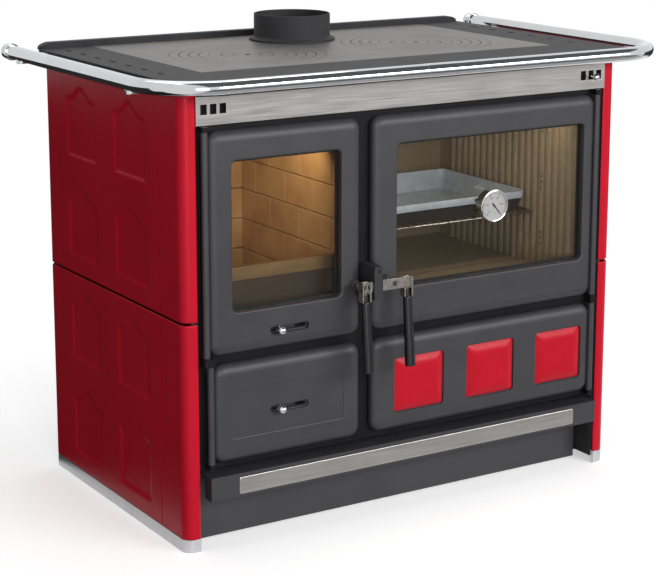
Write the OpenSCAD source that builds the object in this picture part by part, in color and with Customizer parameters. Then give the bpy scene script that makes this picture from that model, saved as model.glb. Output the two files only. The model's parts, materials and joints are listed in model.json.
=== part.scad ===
// Solid fuel cook stove: firebox and ash compartment on the left, oven and
// storage compartment on the right, a pull-out drawer in the plinth, a cast
// hob with lift-off rings, a flue collar and a tubular rail. Millimetres.
// X runs along the front, Y to the back, Z up. The front plane of the side
// panels is y = 0 in every module, and place() centres the finished stove.

/* [Body] */
// Width over the two side panels
body_w = 973; // [953:1:1003]
// Depth of the side panels
body_d = 572; // [556:1:600]
// Height of the top face of the hob
hob_h = 860; // [848:1:880]
// Width of the front return of a side panel
return_w = 30.5; // [27:0.5:34]
// Wall thickness of a side panel
panel_t = 4; // [3:0.5:5]
// Setback of the front frame behind the side panels' front
frame_set = 8; // [7:0.5:9]
// Radius of the front corner of a side panel
panel_corner_r = 20; // [12:1:24]
// Height of the seam between the upper and lower side panels
seam_z = 427.5; // [415:0.5:435]
// Gap in that seam
seam_gap = 4; // [2:0.5:6]
// Height of the bright base strips
strip_h = 24.5; // [18:0.5:28]
// Thickness of the carcass sheets
sheet = 2; // [1.5:0.5:3]
// Thickness of the partition between the firebox and the oven
part_t = 4; // [3:0.5:8]
// Height of the levelling feet
foot_h = 14; // [10:1:18]

/* [Side panel pattern] */
// Width of one arched field
arch_w = 134; // [110:1:150]
// Height of an arched field at its shoulders
arch_h = 120; // [100:1:128]
// Rise of the arch above its shoulders
arch_rise = 23; // [12:1:28]
// Width of a flat shoulder beside the arch
arch_shoulder = 20; // [6:1:34]
// Distance between the middles of the two columns of fields
arch_pitch_x = 210; // [180:1:230]
// Distance between the rows of fields
arch_pitch_z = 197; // [180:1:204]
// Smallest margin over and under the fields
arch_margin = 20; // [8:1:20]
// Distance of the fields behind the middle of the panel
arch_shift = 23; // [0:1:30]
// Depth of a field below the panel's face
arch_depth = 2; // [1:0.5:3]

/* [Front] */
// Thickness of the cast front frame
frame_t = 8; // [6:1:10]
// Distance of the centre post left of the middle
post_offset = 107.5; // [100:0.5:115]
// Gap between the upper doors at the post
post_gap = 27; // [24:0.5:32]
// Lower edge of the lower doors
lower_door_z = 163; // [158:1:168]
// Height of the lower doors
lower_door_h = 183; // [175:1:188]
// Gap between the lower and upper doors
row_gap = 17; // [15:0.5:20]
// Gap between the upper doors and the fascia
top_gap = 10.5; // [9:0.5:14]
// Lower edge of the fascia under the hob's top
fascia_drop = 79.5; // [76:0.5:86]
// Width of one vent hole in the fascia
vent_w = 13; // [9:0.5:15]
// Height of a vent hole
vent_h = 18; // [12:0.5:22]
// Distance between the vent holes
vent_pitch = 19; // [17:0.5:22]
// Distance of the damper's rod from the side panel's return
damper_in = 35; // [33:0.5:37]

/* [Doors] */
// Thickness of the door castings
door_t = 18; // [16:0.5:19]
// Distance of the door faces in front of the side panels
door_proud = 12; // [10:0.5:14]
// Depth of the cushioned edge of a door
door_edge_d = 14; // [8:1:15]
// Width of the cushioned edge of a door
door_edge_w = 20; // [12:1:20]
// Corner radius of a door seen from the front
door_corner_r = 21; // [20:0.5:24]
// Distance of the left hinge line from the side panel's return
left_inset = 12.75; // [10:0.25:18]
// Distance of the right hinge line from the side panel's return
right_inset = 21.75; // [16:0.25:28]
// Extra distance of the ash door's hinge line
ash_inset = 7; // [2:0.5:10]
// Radius of the hinge barrels
barrel_r = 6.25; // [5.5:0.25:7]
// Radius of the hinge pins
pin_r = 4; // [3:0.25:4.5]
// Length of a hinge pin inside its barrel
pin_reach = 13; // [9:0.5:16]
// Margin from a door's edge to its rope seal
seal_inset = 11; // [10:0.5:13]
// Width of a rope seal
seal_w = 9; // [7:0.5:10]
// Depth of the relief in the back of the tile door
relief = 7; // [0:0.5:9]

/* [Windows and tiles] */
// Margin left of the fire window
fire_win_left = 45; // [40:0.5:60]
// Margin right of the fire window
fire_win_right = 44; // [40:0.5:60]
// Margin left of the oven window
oven_win_left = 52; // [46:0.5:70]
// Margin right of the oven window
oven_win_right = 28; // [28:0.5:44]
// Margin under both windows
win_bottom = 78; // [72:0.5:90]
// Margin over both windows
win_top = 55; // [40:0.5:70]
// Corner radius of the windows
win_r = 10; // [5:0.5:16]
// Thickness of the glass
glass_t = 4; // [3:0.5:4.5]
// Width of a tile
tile_w = 111; // [90:0.5:116]
// Height of a tile
tile_h = 104; // [80:0.5:112]
// Distance between the middles of the tiles
tile_pitch = 168; // [150:0.5:176]
// Distance from the middle of the middle tile to the door's middle
tile_shift = 12; // [0:0.5:16]

/* [Hob] */
// Thickness of the hob's deck
deck_t = 10; // [8:0.5:12]
// Wall of the hob's skirt
skirt_t = 6; // [4:0.5:9]
// Height of the skirt round the hob
skirt_h = 22; // [18:0.5:26]
// Overhang of the hob in front of the side panels
hob_front = 30; // [20:1:36]
// Overhang of the hob beside the side panels
hob_side = 16; // [8:0.5:20]
// Overhang of the hob behind the side panels
hob_back = 10; // [4:1:16]
// Width of the ground plate
plate_w = 788; // [770:1:830]
// Front edge of the ground plate behind the side panels' front
plate_y0 = 94; // [84:1:100]
// Rear edge of the ground plate in front of the hob's rear edge
plate_back = 22; // [20:1:26]
// Distance of the cooking zones from the middle
zone_x = 195; // [188:1:205]
// Distance of the cooking zones in front of the plate's middle
zone_shift = 47; // [41:1:55]
// Radius of a cooking zone
zone_r = 151; // [140:0.5:154]
// Radius of the lid in a zone
lid_r = 75; // [60:0.5:85]
// Clearance round rings and lids
ring_gap = 0.8; // [0.5:0.1:1.5]

/* [Flue] */
// Outer diameter of the flue pipe that fits the collar
flue_d = 150; // [140:0.5:153]
// Radial clearance between pipe and collar
flue_fit = 0.5; // [0.3:0.1:1]
// Ledge of the ground plate on which the flue pipe stands
flue_ledge = 5; // [3:0.5:8]
// Wall of the collar
collar_wall = 2.5; // [2:0.25:4]
// Height of the collar over the hob
collar_h = 54; // [40:1:80]
// Width of the collar's flange
collar_flange = 10; // [6:0.5:11]
// Distance of the collar right of the middle
collar_x = 8; // [-6:0.5:12]
// Distance of the collar in front of the hob's rear edge
collar_back = 127; // [124:1:130]

/* [Rail] */
// Diameter of the rail tube
rail_d = 27; // [22:0.5:30]
// Wall of the rail tube
rail_wall = 1.5; // [1:0.25:2.5]
// Distance of the rail's sides from the side panels
rail_side = 69.5; // [56:0.5:90]
// Distance of the rail's front before the side panels
rail_front = 85; // [72:1:110]
// Distance of the rail's centre line under the hob's top
rail_drop = 3; // [-2:0.5:6]
// Bend radius of the rail's centre line
rail_bend_r = 122; // [80:1:130]
// Reach of the rail tubes past the rear of the side panels, below zero where they stop short
rail_out = -2; // [-14:1:20]
// Distance of the front brackets behind the side panels' front
bracket_in = 50; // [40:1:80]
// Distance of the rear brackets in front of the side panels' rear
bracket_back = 43; // [30:1:80]
// Length of the sleeve that joins the two tubes
sleeve_l = 66; // [40:1:90]
// Length of a rail cap behind its tube
cap_l = 36; // [34:1:46]

/* [Handles] */
// Height of the two latch spindles
latch_z = 460; // [456:1:466]
// Distance of the fire door's spindle from its free edge
fire_spindle_in = 17; // [15:0.5:24]
// Distance of the oven door's spindle from its free edge
oven_spindle_in = 24; // [20:0.5:30]
// Distance of the latch plates before the side panels
latch_y = 46; // [42:0.5:52]
// Radius of the latch spindles
spindle_r = 5; // [4:0.25:6]
// Length of a grip
grip_l = 132; // [110:1:140]
// Radius of a grip at its lower end
grip_r = 10; // [8:0.25:11]

/* [Air slides] */
// Height of the fire door's air slot
fire_slot_z = 398; // [396:0.5:399]
// Height of the ash door's air slot
ash_slot_z = 249; // [242:0.5:256]
// Length of an air slot
slot_l = 82; // [70:0.5:90]
// Width of an air slot
slot_w = 15; // [12:0.5:16]
// Distance of the slots' middle from the post
slot_in = 168.5; // [160:0.5:176]
// Diameter of a ball knob
knob_d = 17; // [14:0.5:20]

/* [Drawer] */
// Lower edge of the drawer's front bar
bar_z = 97; // [92:0.5:100]
// Height of the drawer's front bar
bar_h = 44; // [38:0.5:48]
// Depth of the bar
bar_t = 25; // [20:0.5:28]
// Distance of the bar's face before the side panels
bar_proud = 17; // [12:0.5:19]
// Gap between the bar and the side panels
bar_gap = 13; // [10:0.5:16]
// Setback of the plinth behind the side panels' front
plinth_y = 48; // [40:1:56]
// Gap under the plinth
plinth_gap = 4; // [3:0.5:10]
// Margin beside the bright plate on the bar
strip_margin = 57; // [40:1:80]
// Width of a drawer runner
runner_w = 44; // [36:0.5:46]
// Height of a drawer runner
runner_h = 30; // [20:0.5:40]
// Gap between the drawer box and the back wall
drawer_back_gap = 42; // [22:1:80]

/* [Inside] */
// Height of the firebox's floor plate
fire_floor_z = 384; // [381:0.5:388]
// Thickness of the firebox's floor plate
fire_floor_t = 12; // [11:0.5:18]
// Thickness of the grate
grate_t = 9; // [7:0.5:9]
// Thickness of the firebricks
brick_t = 25; // [20:0.5:30]
// Height of the firebricks
brick_h = 310; // [260:1:330]
// Joint between the firebricks
brick_joint = 1; // [0.5:0.5:3]
// Gap between the rear firebricks and the back wall
fire_back_gap = 97; // [70:1:130]
// Width of the grate
grate_w = 210; // [180:1:230]
// Depth of the grate
grate_d = 250; // [210:1:280]
// Setback of the log guard and the ash pan behind the front frame
guard_in = 24; // [20:1:30]
// Height of the log guard's plate
guard_h = 102; // [80:1:120]
// Height of the bar on the log guard
guard_bar_h = 25; // [15:1:30]
// Height of the ash pan
pan_h = 70; // [50:1:90]
// Gap between the oven box and the back wall
oven_back_gap = 52; // [30:1:80]
// Margin from the oven's opening to its window
oven_margin = 6; // [4:0.5:8]
// Height of the oven rack
rack_z = 513; // [500:0.5:560]
// Setback of the oven rack behind the oven's front
rack_in = 124; // [100:1:140]
// Gap between the oven rack and the oven's rear wall
rack_back_gap = 28; // [20:1:50]
// Radius of the rack's frame wires
wire_r = 2.5; // [2:0.25:3]
// Height of the baking tray
tray_h = 42; // [30:0.5:50]
// Pitch of the ribs on the oven's side liners
rib_pitch = 22; // [18:0.5:26]
// Height of a rib
rib_h = 6; // [4:0.5:8]

/* [Thermometer] */
// Distance of the thermometer from the oven window's left edge
gauge_in = 215; // [180:1:240]
// Height of the thermometer's middle
gauge_z = 577; // [570:1:600]
// Diameter of the thermometer
gauge_d = 63; // [50:0.5:70]
// Depth of the thermometer's case
gauge_t = 27; // [22:0.5:30]

/* [Hidden] */
$fn = 48;

// Running clearance on a radius, and the gap between neighbours that move
run_fit = 0.06;
gap = 0.3;
// Overshoot of a cutting shape
over = 1;

half_w = body_w / 2;
inner_half = half_w - return_w;
web_in = inner_half - sheet;
panel_in = half_w - panel_t;
deck_z0 = hob_h - deck_t;
skirt_z0 = hob_h - skirt_h;
panel_top = skirt_z0 - 2;
hob_y1 = body_d + hob_back;
hob_half = half_w + hob_side;
plate_y1 = hob_y1 - plate_back;
zone_y = (plate_y0 + plate_y1) / 2 - zone_shift;
collar_y = hob_y1 - collar_back;
rail_x = half_w + rail_side;
rail_z = hob_h - rail_drop;
rail_end_y = body_d + rail_out;
fascia_z = hob_h - fascia_drop;

frame_y0 = frame_set;
frame_y1 = frame_y0 + frame_t;
frame_z0 = lower_door_z - 13;
back_y = body_d - 32;
back_sheet = 2;
back_flange_y = body_d - back_sheet - sheet;

post_x = -post_offset;
left_free_x = post_x - post_gap / 2;
right_free_x = post_x + post_gap / 2;
fire_hinge_x = -inner_half + left_inset;
ash_hinge_x = fire_hinge_x + ash_inset;
right_hinge_x = inner_half - right_inset;
door_y0 = -door_proud;
door_y1 = door_y0 + door_t;
hinge_y = door_y0 + barrel_r + 0.25;
upper_door_z = lower_door_z + lower_door_h + row_gap;
door_top_z = fascia_z - top_gap;
lower_door_top = lower_door_z + lower_door_h;

seal_y0 = door_y1 - 5;
seal_y1 = frame_y0 - gap;
seal_reach = seal_inset + seal_w;
sill_z = lower_door_z + seal_reach + 3;
shelf_z = upper_door_z - 11;
fire_x0 = fire_hinge_x + barrel_r;
fire_x1 = left_free_x;
ash_x0 = ash_hinge_x + barrel_r;
oven_x0 = right_free_x;
oven_x1 = right_hinge_x - barrel_r;
fire_win = [fire_x0 + fire_win_left, fire_x1 - fire_win_right];
oven_win = [oven_x0 + oven_win_left, oven_x1 - oven_win_right];
win_z = [upper_door_z + win_bottom, door_top_z - win_top];
rebate = 5;
glass_y0 = door_y1 - 5.5;
glass_gap = 0.4;

part_x0 = post_x - part_t / 2;
part_x1 = post_x + part_t / 2;
left_open = [fire_x0 + seal_reach + 14, fire_x1 - seal_reach - 6];
right_open = [oven_win[0] - 14, oven_x1 - seal_reach - 2];
fire_open_z = [fire_floor_z + 24, door_top_z - seal_reach - 8];
low_open_z = [sill_z, lower_door_top - seal_reach - 2];
oven_open_z = [win_z[0] - 38, win_z[1] + 19];
oven_open_x = [oven_win[0] - 14, oven_x1 - seal_reach - 2];
oven_wall = 2;
oven_y1 = back_y - oven_back_gap;
oven_d = oven_y1 - frame_y1;
rack_y = frame_y1 + rack_in;
rack_d = oven_y1 - rack_back_gap - rack_y;
fire_y1 = back_y - fire_back_gap - brick_t;
firebox_d = fire_y1 - frame_y1;
drawer_d = back_y - drawer_back_gap - plinth_y;

spindle_fire_x = fire_x1 - fire_spindle_in;
spindle_oven_x = oven_x0 + oven_spindle_in;
catch_half = 9.5;
latch_t = 4;
latch_h = 20;
channel_w = 19;
channel_t = 3;
channel_d = 15;
channel_h = 37;
oven_channel_in = 24;
grip_lean = 5.3;

slot_x = post_x - slot_in;
stud_r = 3;
stud_run = slot_l - slot_w;
rest_in_slot = 12;
knob_x = slot_x - stud_run / 2 + rest_in_slot;
slide_l = 80;
slide_h = 20;
slide_t = 3;

gauge_x = oven_win[0] + gauge_in;
gauge_wall = 2.5;
dial_in = 3.5;
pivot_r = 0.8;
bar_x = inner_half - bar_gap;
drawer_x = web_in - 48;
drawer_top = bar_z + bar_h - 4;
runner_z = foot_h + 24;
drawer_flange = 42;
tile_y = door_y0 + 4;
tile_mid_x = (oven_x0 + oven_x1) / 2 + tile_shift;
tile_mid_z = lower_door_z + lower_door_h / 2 - 4;
damper_x = inner_half - damper_in;
damper_z = fascia_z + 26;
damper_r = 3;
damper_end_y = oven_y1 - 10;
damper_plate_d = 80;
slot_vent = [damper_x - 71, 30];

sleeve_skin = 0.2;
rail_back = rail_end_y + cap_l;
stove_y0 = -rail_front - rail_d / 2 - sleeve_skin;
mid_shift = -(stove_y0 + rail_back) / 2;

// Moves the front-based drawing to the middle of the stove's floor area
module place() {
    translate([0, mid_shift, 0]) children();
}

// A 2D rectangle with round corners, from its lower left corner
module round_rect(w, h, r) {
    translate([r, 0]) square([w - 2 * r, h]);
    translate([0, r]) square([w, h - 2 * r]);
    for (x = [r, w - r], y = [r, h - r]) translate([x, y]) circle(r);
}

// A block from one corner to the opposite one
module block(x, y, z) {
    translate([x[0], y[0], z[0]]) cube([x[1] - x[0], y[1] - y[0], z[1] - z[0]]);
}

// Extrudes a drawing made in the X-Z plane from y[0] to y[1]
module facing(y) {
    translate([0, y[1], 0]) rotate([90, 0, 0]) linear_extrude(y[1] - y[0]) children();
}

// A plate facing the front with round corners
module front_plate(x, z, y, r) {
    facing(y) translate([x[0], z[0]]) round_rect(x[1] - x[0], z[1] - z[0], r);
}

// A cylinder along Y
module rod_y(x, z, y, r) {
    translate([x, y[0], z]) rotate([-90, 0, 0]) cylinder(r = r, h = y[1] - y[0]);
}

// A slot with round ends, facing the front
module slot_y(x, z, len, w, y) {
    front_plate([x - len / 2, x + len / 2], [z - w / 2, z + w / 2], y, w / 2 - 0.01);
}

// Outline of one quarter of a pillow's corner, from its back to its crown
function quarter(r, t, w, d) = concat(
    [[0, 0], [r, 0]],
    [for (a = [0:10:90]) [r - w + w * cos(a), t - d + d * sin(a)]],
    [[0, t]]);

// A plate with corners of radius r and a front edge w wide and d deep that is
// rounded like a cushion
module pillow(x, z, y, r, w, d) {
    t = y[1] - y[0];
    hull()
        for (cx = [x[0] + r, x[1] - r], cz = [z[0] + r, z[1] - r])
            translate([cx, y[1], cz])
                rotate([90, 0, 0])
                    rotate_extrude($fn = 32)
                        polygon(quarter(r, t, w, d));
}

// A frame of constant width, such as a seal or a glass retainer
module ring_plate(x, z, y, r, w) {
    difference() {
        front_plate(x, z, y, r);
        front_plate([x[0] + w, x[1] - w], [z[0] + w, z[1] - w], [y[0] - over, y[1] + over],
                    max(r - w, 1));
    }
}

// Carcass

module shelf_plates() {
    color("#4A4A4C") {
        block([-web_in, web_in], [frame_y1, back_y], [sill_z - sheet, sill_z]);
        block([part_x1, web_in], [frame_y1, back_y], [shelf_z, shelf_z + sheet]);
    }
}

// One side wall with outward flanges at the front and back and a foot flange
module side_wall() {
    block([web_in, inner_half], [frame_y0, body_d - back_sheet], [foot_h, deck_z0]);
    block([inner_half, half_w - panel_corner_r], [frame_y0, frame_y0 + sheet], [strip_h, panel_top]);
    block([inner_half, panel_in], [back_flange_y, back_flange_y + sheet], [strip_h, panel_top]);
    block([web_in - 40, web_in], [frame_y1 + 40, back_y], [foot_h, foot_h + sheet]);
}

module side_walls() {
    color("#4A4A4C") {
        side_wall();
        mirror([1, 0, 0]) side_wall();
    }
}

module back_wall() {
    color("#4A4A4C") block([-web_in, web_in], [back_y, back_y + sheet], [foot_h + 30, deck_z0]);
}

module centre_partition() {
    color("#4A4A4C")
        block([part_x0, part_x1], [frame_y1, back_y], [sill_z, door_top_z - 20]);
}

module firebox_base() {
    color("#3A3A3B")
        difference() {
            block([-web_in, part_x0], [frame_y1, back_y],
                  [fire_floor_z - fire_floor_t, fire_floor_z]);
            translate([grate_x - grate_w / 2, grate_y - grate_d / 2, fire_floor_z - grate_t])
                cube([grate_w, grate_d, grate_t + over]);
            translate([grate_x - grate_w / 2 + 8, grate_y - grate_d / 2 + 8,
                       fire_floor_z - fire_floor_t - over])
                cube([grate_w - 16, grate_d - 16, fire_floor_t + 2]);
        }
}

// Lug on the front frame that carries the pins of one or two doors
module lug(x, z) {
    front_plate(x, z, [hinge_y - barrel_r, frame_y0 + over], 1.5);
}

// Every hinge pin as [x, lowest point, highest point, lug side]
lug_gap = 0.5;
function pins() = [
    [fire_hinge_x, upper_door_z - row_gap / 2, upper_door_z + pin_reach],
    [fire_hinge_x, door_top_z - pin_reach, fascia_z - 2],
    [ash_hinge_x, lower_door_z - 10, lower_door_z + pin_reach],
    [ash_hinge_x, lower_door_top - pin_reach, lower_door_top + row_gap / 2],
    [right_hinge_x, upper_door_z - row_gap / 2, upper_door_z + pin_reach],
    [right_hinge_x, door_top_z - pin_reach, fascia_z - 2],
    [right_hinge_x, lower_door_z - 10, lower_door_z + pin_reach],
    [right_hinge_x, lower_door_top - pin_reach, lower_door_top + row_gap / 2]
];

module hinge_pins() {
    color("#9A9A9C")
        for (p = pins()) translate([p[0], hinge_y, p[1]]) cylinder(r = pin_r, h = p[2] - p[1]);
}

module front_frame() {
    top_lug = [door_top_z + lug_gap, fascia_z - 1];
    mid_lug = [lower_door_top + lug_gap, upper_door_z - lug_gap];
    low_lug = [lower_door_z - 9, lower_door_z - lug_gap];
    color("#343436")
        difference() {
            union() {
                block([-web_in, web_in], [frame_y0, frame_y1], [frame_z0, deck_z0]);
                lug([fire_hinge_x - barrel_r, fire_hinge_x + barrel_r], top_lug);
                lug([fire_hinge_x - barrel_r, ash_hinge_x + barrel_r], mid_lug);
                lug([ash_hinge_x - barrel_r, ash_hinge_x + barrel_r], low_lug);
                for (z = [top_lug, mid_lug, low_lug])
                    lug([right_hinge_x - barrel_r, right_hinge_x + barrel_r], z);
            }
            for (p = pins())
                translate([p[0], hinge_y, p[1]]) cylinder(r = pin_r + 0.01, h = p[2] - p[1]);
            front_plate(left_open, fire_open_z, [0, frame_y1 + over], 8);
            front_plate(left_open, low_open_z, [0, frame_y1 + over], 4);
            front_plate(oven_open_x, oven_open_z, [0, frame_y1 + over], 8);
            front_plate(right_open, low_open_z, [0, frame_y1 + over], 4);
            rod_y(damper_x, damper_z, [0, frame_y1 + over], damper_r + run_fit);
        }
}

module fascia() {
    depth = frame_y0;
    top = panel_top;
    color("#C8C5C2")
        difference() {
            block([-inner_half, inner_half], [-1, depth], [fascia_z, top]);
            block([-inner_half - over, inner_half + over], [0.5, depth + over],
                  [fascia_z + 1.5, top - 1.5]);
            for (side = [-1, 1], i = [0:2])
                translate([side * (inner_half - 15.5 - i * vent_pitch) - vent_w / 2, -2,
                           fascia_z + 19])
                    cube([vent_w, 4, vent_h]);
        }
}

// A rectangle with one round corner at its outer front
module corner_rect(x, y, r) {
    difference() {
        translate([x[0], y[0]]) square([x[1] - x[0], y[1] - y[0]]);
        difference() {
            translate([x[1] - r, y[0] - over]) square([r + over, r + over]);
            translate([x[1] - r, y[0] + r]) circle(r);
        }
    }
}

// Section of a side panel, with the lip that is folded back beside the front
module panel_outline() {
    difference() {
        corner_rect([inner_half, half_w], [0, body_d], panel_corner_r);
        corner_rect([inner_half + panel_t, panel_in], [panel_t, body_d + over],
                    panel_corner_r - panel_t);
        translate([inner_half - over, frame_set]) square([panel_t + 2 * over, body_d]);
    }
}

// Outline of an arched field: straight sides, flat shoulders and a round crown
module arch_outline() {
    steps = 16;
    crown = arch_w / 2 - arch_shoulder;
    polygon(concat(
        [[-arch_w / 2, 0], [arch_w / 2, 0], [arch_w / 2, arch_h]],
        [for (i = [0:steps])
            let (u = 1 - 2 * i / steps) [u * crown, arch_h + arch_rise * (1 + cos(180 * u)) / 2]],
        [[-arch_w / 2, arch_h]]));
}

// One side panel from z0 to z1 with its sunk fields
module side_panel(z0, z1) {
    rows = floor((z1 - z0 - arch_h - arch_rise - 2 * arch_margin) / arch_pitch_z) + 1;
    row_z = z0 + (z1 - z0 - (rows - 1) * arch_pitch_z - arch_h - arch_rise) / 2;
    mid_y = body_d / 2 + arch_shift;
    difference() {
        translate([0, 0, z0]) linear_extrude(z1 - z0) panel_outline();
        for (row = [0:rows - 1], col = [-0.5, 0.5])
            translate([half_w - arch_depth, mid_y + col * arch_pitch_x, row_z + row * arch_pitch_z])
                rotate([90, 0, 90]) linear_extrude(arch_depth + over) arch_outline();
        for (y = [mid_y - arch_pitch_x - 7, mid_y + arch_pitch_x + 7])
            block([half_w - 1, half_w + over], [y - 1.5, y + 1.5], [z0 - over, z1 + over]);
    }
}

module upper_right_panel() {
    color("#8E1420") side_panel(seam_z + seam_gap / 2, panel_top);
}

module lower_right_panel() {
    color("#8E1420") side_panel(strip_h, seam_z - seam_gap / 2);
}

module upper_left_panel() {
    mirror([1, 0, 0]) upper_right_panel();
}

module lower_left_panel() {
    mirror([1, 0, 0]) lower_right_panel();
}

module base_strips() {
    color("#CFD0D2")
        for (m = [0, 1])
            mirror([m, 0, 0])
                linear_extrude(strip_h)
                    difference() {
                        corner_rect([inner_half, half_w], [0, body_d - 3], panel_corner_r);
                        corner_rect([inner_half - over, half_w - 3], [3, body_d],
                                    panel_corner_r - 3);
                    }
}

module back_panel() {
    slots = 9;
    color("#3C3C3E")
        difference() {
            union() {
                block([-panel_in, panel_in], [back_flange_y + sheet, body_d], [strip_h, panel_top]);
                for (z = [strip_h + 90, panel_top - 260])
                    block([-300, 300], [body_d, body_d + 3], [z, z + 10]);
            }
            for (i = [0:slots - 1], side = [-1, 1])
                front_plate([side * 300 - 60, side * 300 + 60],
                            [panel_top - 60 - i * 14, panel_top - 54 - i * 14],
                            [back_y, body_d + over], 2.9);
        }
}

module levelling_feet() {
    color("#2A2A2B")
        for (x = [-web_in + 20, web_in - 20], y = [frame_y1 + 70, back_y - 40])
            translate([x, y, 0]) {
                cylinder(r = 16, h = 6);
                translate([0, 0, 6]) cylinder(r = 5, h = foot_h - 6);
            }
}

module drawer_runners() {
    color("#8A8A8C")
        for (m = [0, 1])
            mirror([m, 0, 0]) {
                block([web_in - sheet, web_in], [plinth_y + 20, back_y - 10],
                      [runner_z, runner_z + runner_h]);
                block([web_in - runner_w, web_in], [plinth_y + 20, back_y - 10],
                      [runner_z, runner_z + 2]);
            }
}

// Hob

module hob_frame() {
    skirt_in = hob_half - skirt_t;
    pocket_x = plate_w / 2 + 0.5;
    pocket_y = [plate_y0 - 0.5, plate_y1 + 0.5];
    vents = 7;
    color("#454345")
        difference() {
            union() {
                difference() {
                    translate([-hob_half, -hob_front, skirt_z0])
                        linear_extrude(skirt_h) round_rect(2 * hob_half, hob_y1 + hob_front, 18);
                    translate([-skirt_in, -hob_front + skirt_t, skirt_z0 - over])
                        linear_extrude(skirt_h - deck_t + over)
                            round_rect(2 * skirt_in, hob_y1 + hob_front - 2 * skirt_t, 12);
                }
                block([-pocket_x - 10, pocket_x + 10], [pocket_y[0] - 10, hob_y1 - skirt_t],
                      [deck_z0 - 5, deck_z0 + over]);
                translate([-hob_half, hob_y1 - 20, hob_h - over])
                    linear_extrude(13) round_rect(2 * hob_half, 20, 9.9);
            }
            block([-pocket_x, pocket_x], pocket_y, [deck_z0, hob_h + over]);
            block([-pocket_x + 12, pocket_x - 12], [pocket_y[0] + 12, pocket_y[1] - 12],
                  [deck_z0 - 6, hob_h]);
            for (m = [0, 1], i = [0:vents - 1])
                mirror([m, 0, 0])
                    translate([half_w - 26.5, plate_y0 + 10 + i * 66, deck_z0 - over])
                        linear_extrude(deck_t + 2 * over) round_rect(6, 24, 2.9);
            block([-0.5, 0.5], [-hob_front - over, plate_y0], [hob_h - 2, hob_h + over]);
            block([-inner_half, inner_half], [back_y - gap, back_y + sheet + gap],
                  [deck_z0 - 6, deck_z0]);
        }
}

module hob_plate() {
    y = [plate_y0, plate_y1];
    color("#8A8680")
        difference() {
            block([-plate_w / 2, plate_w / 2], y, [deck_z0, hob_h]);
            for (side = [-1, 1])
                translate([side * zone_x, zone_y, 0]) {
                    translate([0, 0, deck_z0 + deck_t / 2])
                        cylinder(r = zone_r + ring_gap, h = deck_t, $fn = 96);
                    translate([0, 0, deck_z0 - over]) cylinder(r = zone_r - 6, h = deck_t, $fn = 96);
                }
            translate([collar_x, collar_y, deck_z0 - over])
                cylinder(r = flue_d / 2 - flue_ledge, h = deck_t + 2 * over);
        }
}

// A disc or ring that drops into a stepped hole, with grooves on its top
module hob_disc(r, inner, grooves) {
    seat = deck_z0 + deck_t / 2 + 0.2;
    difference() {
        union() {
            translate([0, 0, seat]) cylinder(r = r, h = hob_h - seat, $fn = 96);
            translate([0, 0, deck_z0 + 0.5]) cylinder(r = r - 6 - ring_gap, h = deck_t / 2, $fn = 96);
        }
        if (inner > 0) {
            translate([0, 0, seat + 1.5]) cylinder(r = inner + ring_gap, h = deck_t, $fn = 96);
            translate([0, 0, deck_z0 - over]) cylinder(r = inner - 5, h = 2 * deck_t, $fn = 96);
        }
        for (g = grooves)
            translate([0, 0, hob_h - 1])
                difference() {
                    cylinder(r = g + 0.7, h = 2, $fn = 96);
                    translate([0, 0, -over]) cylinder(r = g - 0.7, h = 4, $fn = 96);
                }
    }
}

module zone_ring() {
    step = (zone_r - lid_r) / 4;
    hob_disc(zone_r, lid_r, [for (i = [1:3]) lid_r + i * step]);
}

// Lid with two grooves and the hole for the lifting hook
module zone_lid() {
    seat = deck_z0 + deck_t / 2 + 1.9;
    difference() {
        union() {
            translate([0, 0, seat]) cylinder(r = lid_r, h = hob_h - seat, $fn = 96);
            translate([0, 0, deck_z0 + 0.8])
                cylinder(r = lid_r - 5 - ring_gap, h = deck_t / 2 + 1.5, $fn = 96);
        }
        for (g = [lid_r * 0.36, lid_r * 0.68])
            translate([0, 0, hob_h - 1])
                difference() {
                    cylinder(r = g + 0.7, h = 2, $fn = 96);
                    translate([0, 0, -over]) cylinder(r = g - 0.7, h = 4, $fn = 96);
                }
        translate([0, 0, hob_h - 4]) cylinder(r = 6, h = 5);
    }
}

module left_ring() {
    color("#807C76") translate([-zone_x, zone_y, 0]) zone_ring();
}

module left_lid() {
    color("#807C76") translate([-zone_x, zone_y, 0]) zone_lid();
}

module right_ring() {
    color("#807C76") translate([zone_x, zone_y, 0]) zone_ring();
}

module right_lid() {
    color("#807C76") translate([zone_x, zone_y, 0]) zone_lid();
}

module flue_collar() {
    bore = flue_d / 2 + flue_fit;
    wall = bore + collar_wall;
    color("#3C3B3F")
        translate([collar_x, collar_y, hob_h])
            rotate_extrude($fn = 96)
                polygon([[bore, 0], [wall + collar_flange, 0], [wall + collar_flange, 4],
                         [wall + 3, 6], [wall, 10], [wall, collar_h - 1],
                         [wall - 0.7, collar_h], [bore, collar_h]]);
}

// Rail

module tube_section() {
    difference() {
        circle(rail_d / 2);
        circle(rail_d / 2 - rail_wall);
    }
}

module rail_half() {
    bend_y = -rail_front + rail_bend_r;
    front_l = rail_x - rail_bend_r - sleeve_l / 2;
    translate([rail_x, bend_y, rail_z])
        rotate([-90, 0, 0]) linear_extrude(rail_end_y - bend_y) tube_section();
    translate([rail_x - rail_bend_r, bend_y, rail_z])
        rotate([0, 0, -90]) rotate_extrude(angle = 90) translate([rail_bend_r, 0]) tube_section();
    translate([sleeve_l / 2, -rail_front, rail_z])
        rotate([0, 90, 0]) linear_extrude(front_l) tube_section();
}

module rail_right() {
    color("#DADBDD") rail_half();
}

module rail_left() {
    color("#DADBDD") mirror([1, 0, 0]) rail_half();
}

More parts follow.
